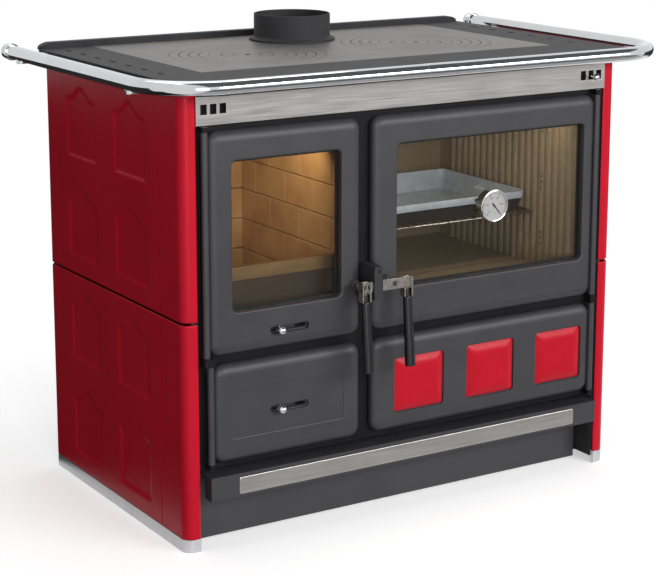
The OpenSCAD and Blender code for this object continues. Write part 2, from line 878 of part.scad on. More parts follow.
// Sleeve between the tubes, with a spigot that enters each of them
module rail_sleeve() {
    color("#DADBDD")
        translate([0, -rail_front, rail_z])
            rotate([0, 90, 0]) {
                cylinder(r = rail_d / 2 + sleeve_skin, h = sleeve_l, center = true);
                cylinder(r = rail_d / 2 - rail_wall - 0.1, h = sleeve_l + 40, center = true);
            }
}

// Stepped ring, domed knob and spigot at the rear end of a tube
module rail_caps() {
    r = rail_d / 2;
    ball = r + 1.5;
    color("#DADBDD")
        for (side = [-1, 1])
            translate([side * rail_x, rail_end_y, rail_z])
                rotate([-90, 0, 0])
                    rotate_extrude()
                        polygon(concat(
                            [[0, -20], [r - rail_wall - 0.1, -20], [r - rail_wall - 0.1, 0],
                             [r + 3, 0], [r + 3, 5], [r, 7], [r - 2.5, 10]],
                            [for (a = [-30:15:75]) [ball * cos(a), cap_l + ball * (sin(a) - sin(75))]],
                            [[0, cap_l]]));
}

module rail_bracket(y) {
    arm_z = rail_z - rail_d / 2 - 4;
    difference() {
        union() {
            block([hob_half, hob_half + 5], [y - 11, y + 11], [skirt_z0, hob_h - 3]);
            block([hob_half, rail_x], [y - 10, y + 10], [arm_z, arm_z + 5]);
            translate([rail_x, y, arm_z]) cylinder(r = 10, h = 8);
        }
        translate([rail_x, y - 20, rail_z]) rotate([-90, 0, 0]) cylinder(r = rail_d / 2 + 0.02, h = 40);
    }
}

module rail_brackets() {
    color("#DADBDD")
        for (m = [0, 1], y = [bracket_in, body_d - bracket_back])
            mirror([m, 0, 0]) rail_bracket(y);
}

// Doors

// Blank of a door: cushion-shaped plate, hinge barrel and the web between them
module door_blank(hinge_x, free_x, z) {
    side = free_x > hinge_x ? 1 : -1;
    edge_x = hinge_x + side * barrel_r;
    web_x = hinge_x + side * (barrel_r + door_corner_r);
    bore_r = pin_r + run_fit;
    difference() {
        union() {
            pillow([min(edge_x, free_x), max(edge_x, free_x)], z, [door_y0, door_y1],
                   door_corner_r, door_edge_w, door_edge_d);
            translate([hinge_x, hinge_y, z[0]]) cylinder(r = barrel_r, h = z[1] - z[0]);
            block([min(hinge_x, web_x), max(hinge_x, web_x)], [hinge_y + 2, door_y1 - 1],
                  [z[0] + 14, z[1] - 14]);
        }
        for (end = [z[0] - over, z[1] - pin_reach - 1])
            translate([hinge_x, hinge_y, end]) cylinder(r = bore_r, h = pin_reach + 1 + over);
    }
}

// Cuts the window with its bevelled lip, the glass rebate and the seal groove
module window_cut(x, z) {
    front_plate(x, z, [door_y0 - over, door_y1 + over], win_r);
    hull() {
        front_plate([x[0] - 3, x[1] + 3], [z[0] - 3, z[1] + 3], [door_y0 - 0.1, door_y0], win_r + 3);
        front_plate(x, z, [door_y0 + 3, door_y0 + 3.1], win_r);
    }
    front_plate([x[0] - rebate, x[1] + rebate], [z[0] - rebate, z[1] + rebate],
                [glass_y0 - gap, door_y1 + over], 4);
}

module seal_groove(x, z) {
    ring_plate([x[0] + seal_inset - 0.2, x[1] - seal_inset + 0.2],
               [z[0] + seal_inset - 0.2, z[1] - seal_inset + 0.2],
               [seal_y0 - gap, door_y1 + over], 14, seal_w + 0.4);
}

module seal(x, z) {
    color("#B9B5AB")
        ring_plate([x[0] + seal_inset, x[1] - seal_inset], [z[0] + seal_inset, z[1] - seal_inset],
                   [seal_y0, seal_y1], 14, seal_w);
}

// Boss and turned spindle that carry a latch lever
module spindle(x) {
    translate([x, door_y0 + 1, latch_z])
        rotate([90, 0, 0]) {
            cylinder(r1 = 12, r2 = 9, h = 10);
            cylinder(r = spindle_r, h = latch_y - door_proud + 1);
        }
}

// Slot with a wide dish in front, and the pocket that guides the slide
module air_slot(z) {
    slot_y(slot_x, z, slot_l, slot_w, [door_y0 - over, door_y0 + 6]);
    slot_y(slot_x, z, stud_run + 2 * stud_r + 2, 2 * stud_r + 2, [door_y0, door_y1 + over]);
    front_plate([knob_x - rest_in_slot - slide_l / 2 - 2,
                 knob_x - rest_in_slot + stud_run + slide_l / 2 + 2],
                [z - slide_h / 2 - gap, z + slide_h / 2 + gap],
                [door_y1 - slide_t - 1.5, door_y1 + over], 1);
}

module air_slide(z) {
    color("#C9CACC") {
        front_plate([knob_x - slide_l / 2, knob_x + slide_l / 2], [z - slide_h / 2, z + slide_h / 2],
                    [door_y1 - slide_t - 1, door_y1 - 1], 1);
        rod_y(knob_x, z, [door_y0 - 8, door_y1 - 2], stud_r);
        rod_y(knob_x, z, [door_y0 - 2.5, door_y0 + 2], slot_w / 2 - 2);
        translate([knob_x, door_y0 - 8 - knob_d / 2 + 3, z]) sphere(d = knob_d);
    }
}

fire_z = [upper_door_z, door_top_z];
low_z = [lower_door_z, lower_door_top];

module fire_door() {
    color("#434245")
        difference() {
            union() {
                door_blank(fire_hinge_x, fire_x1, fire_z);
                spindle(spindle_fire_x);
            }
            window_cut(fire_win, win_z);
            seal_groove([fire_x0, fire_x1], fire_z);
            air_slot(fire_slot_z);
        }
}

module fire_glass() {
    color("#8FA3A8", 0.4) glass(fire_win);
}

module glass(x) {
    e = rebate - glass_gap;
    front_plate([x[0] - e, x[1] + e], [win_z[0] - e, win_z[1] + e], [glass_y0, glass_y0 + glass_t], 3);
}

module glass_frame(x) {
    e = rebate - glass_gap;
    ring_plate([x[0] - e, x[1] + e], [win_z[0] - e, win_z[1] + e],
               [glass_y0 + glass_t, door_y1], 3, 9);
}

module fire_glass_frame() {
    color("#77787A") glass_frame(fire_win);
}

module fire_door_seal() {
    seal([fire_x0, fire_x1], fire_z);
}

module fire_air_slide() {
    air_slide(fire_slot_z);
}

module ash_door() {
    panel = [[ash_x0 + 34, fire_x1 - 39], [lower_door_z + 41.5, lower_door_top - 49]];
    color("#434245")
        difference() {
            door_blank(ash_hinge_x, fire_x1, low_z);
            hull() {
                front_plate(panel[0], panel[1], [door_y0 - 0.5, door_y0], 4);
                front_plate([panel[0][0] + 2, panel[0][1] - 2], [panel[1][0] + 2, panel[1][1] - 2],
                            [door_y0 + 1.9, door_y0 + 2], 3);
            }
            seal_groove([ash_x0, fire_x1], low_z);
            air_slot(ash_slot_z);
        }
}

module ash_door_seal() {
    seal([ash_x0, fire_x1], low_z);
}

module ash_air_slide() {
    air_slide(ash_slot_z);
}

module oven_door() {
    color("#434245")
        difference() {
            union() {
                door_blank(right_hinge_x, oven_x0, fire_z);
                spindle(spindle_oven_x);
            }
            window_cut(oven_win, win_z);
            seal_groove([oven_x0, oven_x1], fire_z);
        }
}

module oven_glass() {
    color("#8FA3A8", 0.4)
        difference() {
            glass(oven_win);
            rod_y(gauge_x, gauge_z, [door_y0, frame_y1], 5);
        }
}

module oven_glass_frame() {
    color("#77787A") glass_frame(oven_win);
}

module oven_door_seal() {
    seal([oven_x0, oven_x1], fire_z);
}

module tile_door() {
    color("#434245")
        difference() {
            door_blank(right_hinge_x, oven_x0, low_z);
            front_plate([oven_x0 + seal_reach + 4, oven_x1 - seal_reach - 4],
                        [lower_door_z + seal_reach + 4, lower_door_top - seal_reach - 4],
                        [door_y1 - relief, door_y1 + over], 6);
            for (i = [-1:1])
                front_plate([tile_mid_x + i * tile_pitch - tile_w / 2 - 1.5,
                             tile_mid_x + i * tile_pitch + tile_w / 2 + 1.5],
                            [tile_mid_z - tile_h / 2 - 1.5, tile_mid_z + tile_h / 2 + 1.5],
                            [door_y0 - over, tile_y], 9);
        }
}

module door_tiles() {
    color("#C81E2C")
        for (i = [-1:1])
            pillow([tile_mid_x + i * tile_pitch - tile_w / 2, tile_mid_x + i * tile_pitch + tile_w / 2],
                   [tile_mid_z - tile_h / 2, tile_mid_z + tile_h / 2], [door_y0 - 3, tile_y], 9, 7, 6);
}

// Latches

// Latch plate on its spindle: a tongue towards the catch, and the channel that
// holds the grip, which stands off_x beside the spindle
module lever(x, toward, off_x) {
    reach = abs(post_x + toward * catch_half * -1 - x) - 0.5;
    y = [-latch_y - 0.5, -latch_y + latch_t - 0.5];
    tip = x + toward * reach;
    cx = x + off_x;
    difference() {
        union() {
            intersection() {
                front_plate([min(tip, cx), max(tip, cx)] + [-over, over],
                            [latch_z - latch_h / 2, latch_z + latch_h / 2], y, 1);
                union() {
                    rod_y(x, latch_z, [y[0] - over, y[1] + over], reach);
                    block([min(x, cx) - over, max(x, cx) + over], [y[0] - over, y[1] + over],
                          [latch_z - latch_h, latch_z + latch_h]);
                }
            }
            rod_y(x, latch_z, [y[0], y[1] + 9], spindle_r + 4);
            difference() {
                block([cx - channel_w / 2, cx + channel_w / 2], [y[1] - channel_d, y[1]],
                      [latch_z + 12 - channel_h, latch_z + 12]);
                block([cx - channel_w / 2 + channel_t, cx + channel_w / 2 - channel_t],
                      [y[1] - channel_d - over, y[1] - channel_t],
                      [latch_z - channel_h, latch_z + 12 + over]);
            }
        }
        rod_y(x, latch_z, [-latch_y - 30, -latch_y + 30], spindle_r + run_fit);
    }
}

// A tapered grip that hangs from the channel and leans out at its lower end
module grip(x) {
    y = -latch_y + latch_t - 0.5 - channel_t - 6.85;
    top = latch_z + 12 - channel_h - 0.8;
    color("#1E1E20")
        translate([x, y, top])
            rotate([180 - grip_lean, 0, 0])
                rotate_extrude()
                    polygon(concat(
                        [[0, -14.5], [5, -14.5], [5, -1], [8, 0], [8.5, 2]],
                        [for (a = [0:15:90]) [grip_r - 3 + 3 * cos(a), grip_l - 3 + 3 * sin(a)]],
                        [[0, grip_l]]));
}

module fire_lever() {
    color("#B9B6B2") lever(spindle_fire_x, 1, 0);
}

module fire_grip() {
    grip(spindle_fire_x);
}

module oven_lever() {
    color("#B9B6B2") lever(spindle_oven_x, -1, oven_channel_in);
}

module oven_grip() {
    grip(spindle_oven_x + oven_channel_in);
}

// Block on the post that both tongues close against
module door_catch() {
    color("#1B1B1D")
        difference() {
            front_plate([post_x - catch_half, post_x + catch_half], [latch_z - 26, latch_z + 37],
                        [-latch_y - 4, frame_y0], 3);
            rod_y(post_x, latch_z + 28, [-latch_y - 5, -latch_y - 1], 3.5);
        }
}

// Thermometer

module thermometer_case() {
    y = [glass_y0 - gauge_t, glass_y0];
    r = gauge_d / 2;
    color("#D8D9DB")
        difference() {
            union() {
                translate([gauge_x, y[1], gauge_z])
                    rotate([90, 0, 0])
                        rotate_extrude($fn = 64)
                            polygon([[0, 0], [r - 6, 0], [r - 3, 4], [r - 3, gauge_t - 6], [r, gauge_t - 5],
                                     [r, gauge_t - 1], [r - 1, gauge_t], [0, gauge_t]]);
                rod_y(gauge_x, gauge_z, [y[1] - over, y[1] + 36], 4);
            }
            rod_y(gauge_x, gauge_z, [y[0] - over, y[0] + dial_in], r - gauge_wall);
        }
    color("#D8D9DB") rod_y(gauge_x, gauge_z, [y[0] + 1.7, y[0] + dial_in + 0.1], pivot_r);
}

module thermometer_pointer() {
    color("#1B1B1D")
        translate([gauge_x, glass_y0 - gauge_t + dial_in - gap, gauge_z])
            rotate([90, 0, 0])
                difference() {
                    union() {
                        cylinder(r = 2.2, h = 1.6);
                        rotate([0, 0, -140])
                            linear_extrude(0.8)
                                polygon([[-1.3, -7], [1.3, -7], [0.5, gauge_d / 2 - 9],
                                         [-0.5, gauge_d / 2 - 9]]);
                    }
                    translate([0, 0, -over]) cylinder(r = pivot_r + run_fit, h = 4);
                }
}

// Inside

grate_x = (-web_in + brick_t + part_x0 - brick_t) / 2;
grate_y = frame_y1 + firebox_d / 2;

module firebox_bricks() {
    z = [fire_floor_z, fire_floor_z + brick_h];
    y = [frame_y1, frame_y1 + firebox_d];
    color("#A9805A") {
        block([-web_in, -web_in + brick_t], y, z);
        block([part_x0 - brick_t, part_x0], y, z);
        block([-web_in, part_x0], [y[1] + brick_joint, y[1] + brick_t], z);
    }
}

module fire_grate() {
    bars = 9;
    pitch = (grate_w - 30) / (bars + 1);
    color("#2F2F31")
        difference() {
            translate([grate_x - grate_w / 2 + gap, grate_y - grate_d / 2 + gap,
                       fire_floor_z - grate_t])
                cube([grate_w - 2 * gap, grate_d - 2 * gap, grate_t]);
            for (i = [0:bars], side = [-1, 1])
                translate([grate_x - grate_w / 2 + 15 + i * pitch + 2,
                           grate_y + side * grate_d / 4 - grate_d / 5,
                           fire_floor_z - grate_t - over])
                    cube([pitch - 8, grate_d * 2 / 5, grate_t + 2 * over]);
        }
}

// Plate behind the fire window that keeps the logs back, with its top bar
module log_guard() {
    y = frame_y1 + guard_in;
    top = fire_floor_z + guard_h;
    color("#7A6247") {
        block([-web_in + brick_t, part_x0 - brick_t], [y, y + 6], [fire_floor_z, top]);
        block([-web_in + brick_t, part_x0 - brick_t], [y - 8, y + 6], [top, top + guard_bar_h]);
    }
}

module ash_pan() {
    x = [left_open[0] + 4, left_open[1] - 4];
    y = [frame_y1 + guard_in, fire_y1 - 18];
    z = [sill_z, sill_z + pan_h];
    color("#6E6F71") {
        difference() {
            block(x, y, z);
            block(x + [1.5, -1.5], y + [1.5, -1.5], z + [1.5, over]);
        }
        difference() {
            front_plate([(x[0] + x[1]) / 2 - 45, (x[0] + x[1]) / 2 + 45], [z[0] + 20, z[0] + 50],
                        [y[0] - 16, y[0]], 6);
            front_plate([(x[0] + x[1]) / 2 - 39, (x[0] + x[1]) / 2 + 39], [z[0] + 26, z[0] + 44],
                        [y[0] - 17, y[0] + over], 4);
            block([(x[0] + x[1]) / 2 - 39, (x[0] + x[1]) / 2 + 39], [y[0] - 10, y[0]],
                  [z[0] + 19, z[0] + 51]);
        }
    }
}

module oven_box() {
    x = [oven_open_x[0], oven_open_x[1]];
    z = oven_open_z;
    w = oven_wall;
    color("#6B6052")
        difference() {
            union() {
                block(x + [-w, w], [frame_y1, oven_y1], z + [-w, w]);
                block(x + [-14, 14], [frame_y1, frame_y1 + w], z + [-14, 14]);
            }
            block(x, [frame_y1 - over, oven_y1 - w], z);
            block([slot_vent[0] - 25, slot_vent[0] + 25],
                  [damper_end_y - 20 - slot_vent[1], damper_end_y - 20], [z[1] - over, z[1] + w + over]);
        }
}

// A ribbed liner that stands against an oven wall, with two pegs for the rack
module oven_liner(x, side) {
    n = floor((oven_d - 40) / rib_pitch);
    y0 = frame_y1 + 14;
    t = 1.5;
    front = concat(
        [for (i = [0:n - 1], p = [[0, 0], [0.14, 0.7], [0.3, 1], [0.5, 1], [0.66, 0.7], [0.8, 0]])
            [p[1] * rib_h + t, y0 + (i + p[0]) * rib_pitch]],
        [[t, y0 + n * rib_pitch]]);
    back = [for (i = [len(front) - 1:-1:0]) [front[i][0] - t, front[i][1]]];
    translate([x, 0, oven_open_z[0]])
        mirror([side > 0 ? 1 : 0, 0, 0]) {
            linear_extrude(oven_open_z[1] - oven_open_z[0] - 4) polygon(concat(front, back));
            for (py = [rack_y + 40, rack_y + rack_d - 30])
                translate([0.5, py, rack_z - oven_open_z[0] - 2 * wire_r - 0.7])
                    rotate([0, 90, 0]) cylinder(r = wire_r, h = 17);
        }
}

module oven_liners() {
    color("#7A6D5B") {
        oven_liner(oven_open_x[0], -1);
        oven_liner(oven_open_x[1], 1);
    }
}

rack_x = [oven_open_x[0] + rib_h + 3, oven_open_x[1] - rib_h - 3];

module oven_rack() {
    wires = 18;
    r = wire_r;
    color("#C4BFB2") {
        for (x = [rack_x[0] + r, rack_x[1] - r])
            rod_y(x, rack_z - 0.7, [rack_y, rack_y + rack_d], r);
        for (y = [rack_y + r, rack_y + rack_d - r])
            translate([rack_x[0] + r, y, rack_z - 0.7])
                rotate([0, 90, 0]) cylinder(r = r, h = rack_x[1] - rack_x[0] - 2 * r);
        for (i = [1:wires])
            rod_y(rack_x[0] + i * (rack_x[1] - rack_x[0]) / (wires + 1), rack_z + 0.2,
                  [rack_y + r, rack_y + rack_d - r], 1.6);
    }
}

module baking_tray() {
    x = [rack_x[0] + 18, rack_x[1] - 16];
    y = [rack_y + 6, rack_y + rack_d - 20];
    z = rack_z + 1.8;
    rim_z = z + tray_h - 14;
    color("#B9C2CC")
        difference() {
            union() {
                hull() {
                    tray_slab(x, y, [z, z + 0.1], 14);
                    tray_slab(x, y, [rim_z, rim_z + 0.1], 0);
                }
                tray_slab(x, y, [rim_z, rim_z + 14], 0);
            }
            hull() {
                tray_slab(x, y, [z + 2, z + 2.1], 16);
                tray_slab(x, y, [rim_z, rim_z + 15], 2);
            }
        }
}

// A level slab of the tray's outline, drawn in by the given inset
module tray_slab(x, y, z, inset) {
    translate([x[0] + inset, y[0] + inset, z[0]])
        linear_extrude(z[1] - z[0])
            round_rect(x[1] - x[0] - 2 * inset, y[1] - y[0] - 2 * inset, max(16 - inset, 11));
}

// Plinth drawer

module drawer_box() {
    y = [plinth_y, plinth_y + drawer_d];
    z0 = runner_z - 10;
    color("#39393B") {
        difference() {
            block([-drawer_x, drawer_x], y, [z0, drawer_top]);
            block([-drawer_x + 2, drawer_x - 2], y + [2, -2], [z0 + 2, drawer_top + over]);
        }
        block([-bar_x, bar_x], [plinth_y, plinth_y + 2], [plinth_gap, drawer_top]);
        for (m = [0, 1])
            mirror([m, 0, 0])
                block([drawer_x - 1, drawer_x + drawer_flange], y + [22, 0],
                      [runner_z + 2 + gap, runner_z + 4 + gap]);
    }
}

// Folded bar across the drawer's front: face, ends, lower lip and top shelf
module drawer_bar() {
    y0 = -bar_proud;
    z = [bar_z, bar_z + bar_h];
    color("#3C3C3F") {
        difference() {
            block([-bar_x, bar_x], [y0, y0 + bar_t], z);
            block([-bar_x + 3, bar_x - 3], [y0 + 3, y0 + bar_t + over], [z[0] + 3, z[1] - 3]);
        }
        block([-bar_x, bar_x], [y0 + bar_t - over, plinth_y], [z[1] - 3, z[1]]);
        block([-bar_x, bar_x], [plinth_y - 2, plinth_y], [z[1] - 30, z[1]]);
        front_plate([-bar_x + strip_margin, bar_x - strip_margin],
                    [bar_z + 5, bar_z + bar_h - 7], [y0 - 1, y0 + over], 3);
    }
}

// Rod with its knob, and the plate that it slides over the oven's vent
module damper_slide() {
    top = oven_open_z[1] + oven_wall + gap;
    color("#C9CACC") {
        rod_y(damper_x, damper_z, [-14, damper_end_y], damper_r);
        translate([damper_x, -18, damper_z]) sphere(d = 13);
        block([damper_x - 2, damper_x + 2], [damper_end_y - 34, damper_end_y], [top, damper_z + 6]);
        block([slot_vent[0] - 32, damper_x + 2], [damper_end_y - damper_plate_d, damper_end_y],
              [top, top + 2]);
    }
}

place() {
    shelf_plates();
    side_walls();
    back_wall();
    centre_partition();
    firebox_base();
    front_frame();
    fascia();
    upper_left_panel();
    lower_left_panel();
    upper_right_panel();
    lower_right_panel();
    base_strips();
    back_panel();
    levelling_feet();
    drawer_runners();
    door_catch();
    hinge_pins();
    hob_frame();
    hob_plate();
    flue_collar();
    firebox_bricks();
    fire_grate();
    log_guard();
    ash_pan();
    oven_box();
    oven_liners();
    oven_rack();
    baking_tray();
    rail_left();
    rail_right();
    rail_sleeve();
    rail_caps();
    rail_brackets();
    left_ring();
    left_lid();
    right_ring();
    right_lid();
    fire_door();
    fire_glass();
    fire_glass_frame();
    fire_door_seal();
    fire_lever();
    fire_grip();
    fire_air_slide();
    ash_door();
    ash_door_seal();
    ash_air_slide();
    oven_door();
    oven_glass();
    oven_glass_frame();
    oven_door_seal();
    oven_lever();
    oven_grip();
    thermometer_case();
    thermometer_pointer();
    tile_door();
    door_tiles();
    drawer_box();
    drawer_bar();
    damper_slide();
}
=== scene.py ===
"""Looks of a solid fuel cook stove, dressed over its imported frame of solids.

The stove is drawn in millimetres with x to the right along the front, y from
the front plane of the side panels to the back, and z up from the floor. The
function at() turns such a point into metres in the frame's own place.
"""

import json
import logging
import math
from dataclasses import dataclass
from enum import Enum
from typing import Callable, Iterable, Sequence

import bmesh
import bpy
import numpy as np
from mathutils import Matrix, Vector

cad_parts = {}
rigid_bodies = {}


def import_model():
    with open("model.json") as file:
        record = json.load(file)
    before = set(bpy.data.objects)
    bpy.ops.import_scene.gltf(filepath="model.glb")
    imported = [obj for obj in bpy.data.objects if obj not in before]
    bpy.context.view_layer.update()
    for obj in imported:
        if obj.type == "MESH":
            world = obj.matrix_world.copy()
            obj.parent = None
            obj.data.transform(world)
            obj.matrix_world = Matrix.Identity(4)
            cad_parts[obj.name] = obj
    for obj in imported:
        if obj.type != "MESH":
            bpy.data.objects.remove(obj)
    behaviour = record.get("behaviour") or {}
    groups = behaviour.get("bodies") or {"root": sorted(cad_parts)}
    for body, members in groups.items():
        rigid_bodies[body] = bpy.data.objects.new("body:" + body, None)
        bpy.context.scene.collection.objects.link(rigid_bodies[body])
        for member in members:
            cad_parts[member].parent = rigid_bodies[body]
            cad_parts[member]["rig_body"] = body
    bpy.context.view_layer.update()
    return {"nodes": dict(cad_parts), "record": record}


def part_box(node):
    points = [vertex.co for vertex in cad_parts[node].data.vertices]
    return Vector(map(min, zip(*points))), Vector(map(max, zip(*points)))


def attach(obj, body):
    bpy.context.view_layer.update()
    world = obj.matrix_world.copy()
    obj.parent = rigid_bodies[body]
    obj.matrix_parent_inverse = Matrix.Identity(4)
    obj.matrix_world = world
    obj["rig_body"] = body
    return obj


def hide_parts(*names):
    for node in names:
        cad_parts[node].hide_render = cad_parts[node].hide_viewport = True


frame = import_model()

LOG = logging.getLogger("stove")
MM = 0.001
NODES: dict[str, bpy.types.Object] = frame["nodes"]

# The frame's flue collar shows how far the drawing's front plane is from its own.
COLLAR_Y = 455.0
SHIFT = sum(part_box("flue_collar")[k].y for k in (0, 1)) / 2 / MM - COLLAR_Y

# Sizes that more than one part of the stove needs, in drawing millimetres. The
# doors reach from FACE_Y to BACK_Y, and a window is its left, right, lower and
# upper edge.
HOB_TOP = 860.0
HOB_HALF = 502.5
FACE_Y, BACK_Y = -12.0, 6.0
FIRE_WINDOW = (-392.0, -165.0, 441.0, 715.0)
OVEN_WINDOW = (-42.0, 400.0, 441.0, 715.0)
FIRE_SLOT_Z, ASH_SLOT_Z = 398.0, 249.0
TILE_MIDDLES = (11.0, 179.0, 347.0)
TILE_Z = 250.5

WHITE = (1, 1, 1, 1)
FRONT, REAR, UP = Vector((0, -1, 0)), Vector((0, 1, 0)), Vector((0, 0, 1))

Span = tuple[float, float]
Point = tuple[float, float, float]
Four = tuple[float, float, float, float]
Loop = list[Vector]
Mesh = bmesh.types.BMesh
Thing = bpy.types.Object
Socket = bpy.types.NodeSocket
Inputs = dict[str | int, object]


def at(x: float, y: float, z: float) -> Vector:
    """Turns a drawing point in millimetres into the frame's metres."""
    return Vector((x, y + SHIFT, z)) * MM


def linear(code: str) -> Four:
    """Turns an sRGB hex colour into linear values.

    Args:
        code: Six hex digits after a hash.

    Returns:
        Linear red, green, blue and an alpha of one.
    """
    parts = [int(code[i : i + 2], 16) / 255 for i in (1, 3, 5)]
    made = [c / 12.92 if c <= 0.04045 else ((c + 0.055) / 1.055) ** 2.4 for c in parts]
    return (made[0], made[1], made[2], 1.0)


class Graph:
    """Node tree of a material or world, with short ways to fill it."""

    def __init__(self, owner: bpy.types.Material | bpy.types.World) -> None:
        """Turns on the nodes of a material or world."""
        owner.use_nodes = True
        self.tree = owner.node_tree

    def feed(self, node: bpy.types.Node | str, inputs: Inputs) -> None:
        """Fills inputs of a node.

        Args:
            node: The node or its name.
            inputs: Value or output socket for each named or numbered input.
        """
        if isinstance(node, str):
            node = self.tree.nodes[node]
        for key, value in inputs.items():
            if isinstance(value, Socket):
                self.tree.links.new(value, node.inputs[key])
            else:
                node.inputs[key].default_value = value

    def add(
        self, kind: str, inputs: Inputs | None = None, out: str | int = 0, **settings: object
    ) -> Socket:
        """Adds one node.

        Args:
            kind: Type of the node, without Blender's prefix.
            inputs: Value or output socket for each named or numbered input.
            out: Name or number of the output that is wanted.
            **settings: Attributes to set on the node.

        Returns:
            That output.
        """
        made = self.tree.nodes.new(f"ShaderNode{kind}")
        for key, value in settings.items():
            setattr(made, key, value)
        self.feed(made, inputs or {})
        return made.outputs[out]

    def seen(self) -> Socket:
        """Returns a switch: one for what the eye sees, straight, mirrored or through glass."""
        rays = self.add("LightPath").node.outputs
        made = rays["Is Camera Ray"]
        for other in ("Is Glossy Ray", "Is Transmission Ray"):
            made = self.add("Math", {0: made, 1: rays[other]}, operation="MAXIMUM")
        return made

    def glow(self, strength: float) -> Socket:
        """Returns a white emission of a given strength."""
        return self.add("Emission", {"Color": WHITE, "Strength": strength})


class Grain(Enum):
    """How a surface's fine pattern is laid."""

    PLAIN = "plain"
    ALONG_X = "along x"
    ALONG_Z = "along z"
    WOVEN = "woven"


@dataclass(frozen=True)
class Finish:
    """One real surface: what it is, how it was made and how it looks.

    Attributes:
        name: Plain name of the material.
        dark: Darker of its two colours.
        pale: Paler of its two colours.
        patch_mm: Size of the patches in which the two colours mix.
        rough: Lowest and highest roughness.
        metallic: One for bare metal, else zero.
        grain: How the fine pattern is laid.
        grain_mm: Width of one grain of the fine pattern.
        relief_mm: Height of the fine pattern.
        tone: Share of the fine pattern in the mix of the two colours.
        coat: Weight of a clear gloss over the colour.
        specular: Strength of the mirror-like share on a surface that isn't metal.
        aniso: How far a highlight is drawn out across the brushing.
        coat_rough: Roughness of the clear gloss.
        drawn: How much longer than wide a grain is that has a direction.
        noise_span: Values of the noise between which its effect runs.
    """

    name: str
    dark: str
    pale: str
    patch_mm: float = 30.0
    rough: Span = (0.4, 0.5)
    metallic: float = 0.0
    grain: Grain = Grain.PLAIN
    grain_mm: float = 1.0
    relief_mm: float = 0.0
    tone: float = 0.0
    coat: float = 0.0
    specular: float = 0.5
    aniso: float = 0.0
    coat_rough: float = 0.08
    drawn: float = 60.0
    noise_span: Span = (0.3, 0.7)

    def stretch(self) -> Vector:
        """Returns the pattern's scale along each axis, per metre."""
        fine = 1 / (self.grain_mm * MM)
        along_x = fine / self.drawn if self.grain is Grain.ALONG_X else fine
        along_z = fine / self.drawn if self.grain is Grain.ALONG_Z else fine
        return Vector((along_x, fine, along_z))

    def build(self) -> bpy.types.Material:
        """Makes the material from noise in the object's own coordinates.

        Returns:
            The finished material.
        """
        made = bpy.data.materials.new(self.name)
        graph = Graph(made)
        where = graph.add("TexCoord", out="Object")
        scale = 1 / (self.patch_mm * MM)
        patch = graph.add("TexNoise", {"Vector": where, "Scale": scale, "Detail": 3.0}, "Fac")
        place = graph.add("Mapping", {"Vector": where, "Scale": self.stretch()})
        if self.grain is Grain.WOVEN:
            weave: Inputs = {"Vector": place, "Scale": 1.0, "Distortion": 1.5}
            fine = graph.add("TexWave", weave, "Fac", bands_direction="DIAGONAL")
        else:
            fine = graph.add("TexNoise", {"Vector": place, "Scale": 1.0, "Detail": 2.0}, "Fac")
        share = graph.add("Mix", {0: self.tone, 2: patch, 3: fine}, data_type="FLOAT")
        span = dict(zip(("From Min", "From Max"), self.noise_span))
        spread = graph.add("MapRange", {"Value": share, **span})
        pair = {0: spread, 6: linear(self.dark), 7: linear(self.pale)}
        colour = graph.add("Mix", pair, 2, data_type="RGBA")
        limits = dict(zip(("To Min", "To Max"), self.rough))
        looks: Inputs = {
            "Base Color": colour,
            "Roughness": graph.add("MapRange", {"Value": fine, **span, **limits}),
            "Metallic": self.metallic,
            "Specular IOR Level": self.specular,
            "Coat Weight": self.coat,
            "Coat Roughness": self.coat_rough,
            "Anisotropic": self.aniso,
        }
        if self.relief_mm:
            height = self.relief_mm * MM
            bump = {"Height": fine, "Strength": 1.0, "Distance": height}
            looks["Normal"] = graph.add("Bump", bump)
        graph.feed("Principled BSDF", looks)
        return made


@dataclass(frozen=True)
class Glazing:
    """Clear pane of glass ceramic, thin enough to show no bending of what is behind.

    Attributes:
        name: Plain name of the material.
        tint: Colour of the little light that the pane keeps.
        rough: Roughness of the faces, from wiped clean to smeared.
        smear: Patches of smear per metre.
        body: How much of the light the pane keeps or mirrors.
    """

    name: str
    tint: str = "#2A2622"
    rough: Span = (0.02, 0.05)
    smear: float = 9.0
    body: float = 0.2

    def build(self) -> bpy.types.Material:
        """Makes the material.

        Returns:
            A see-through pane that still mirrors the room.
        """
        made = bpy.data.materials.new(self.name)
        made.surface_render_method = "BLENDED"
        graph = Graph(made)
        where = graph.add("TexCoord", out="Object")
        smear = graph.add("TexNoise", {"Vector": where, "Scale": self.smear, "Detail": 2.0}, "Fac")
        limits = dict(zip(("To Min", "To Max"), self.rough))
        looks: Inputs = {
            "Roughness": graph.add("MapRange", {"Value": smear, **limits}),
            "Base Color": linear(self.tint),
            "Specular IOR Level": 1.0,
            "Alpha": self.body,
        }
        graph.feed("Principled BSDF", looks)
        return made


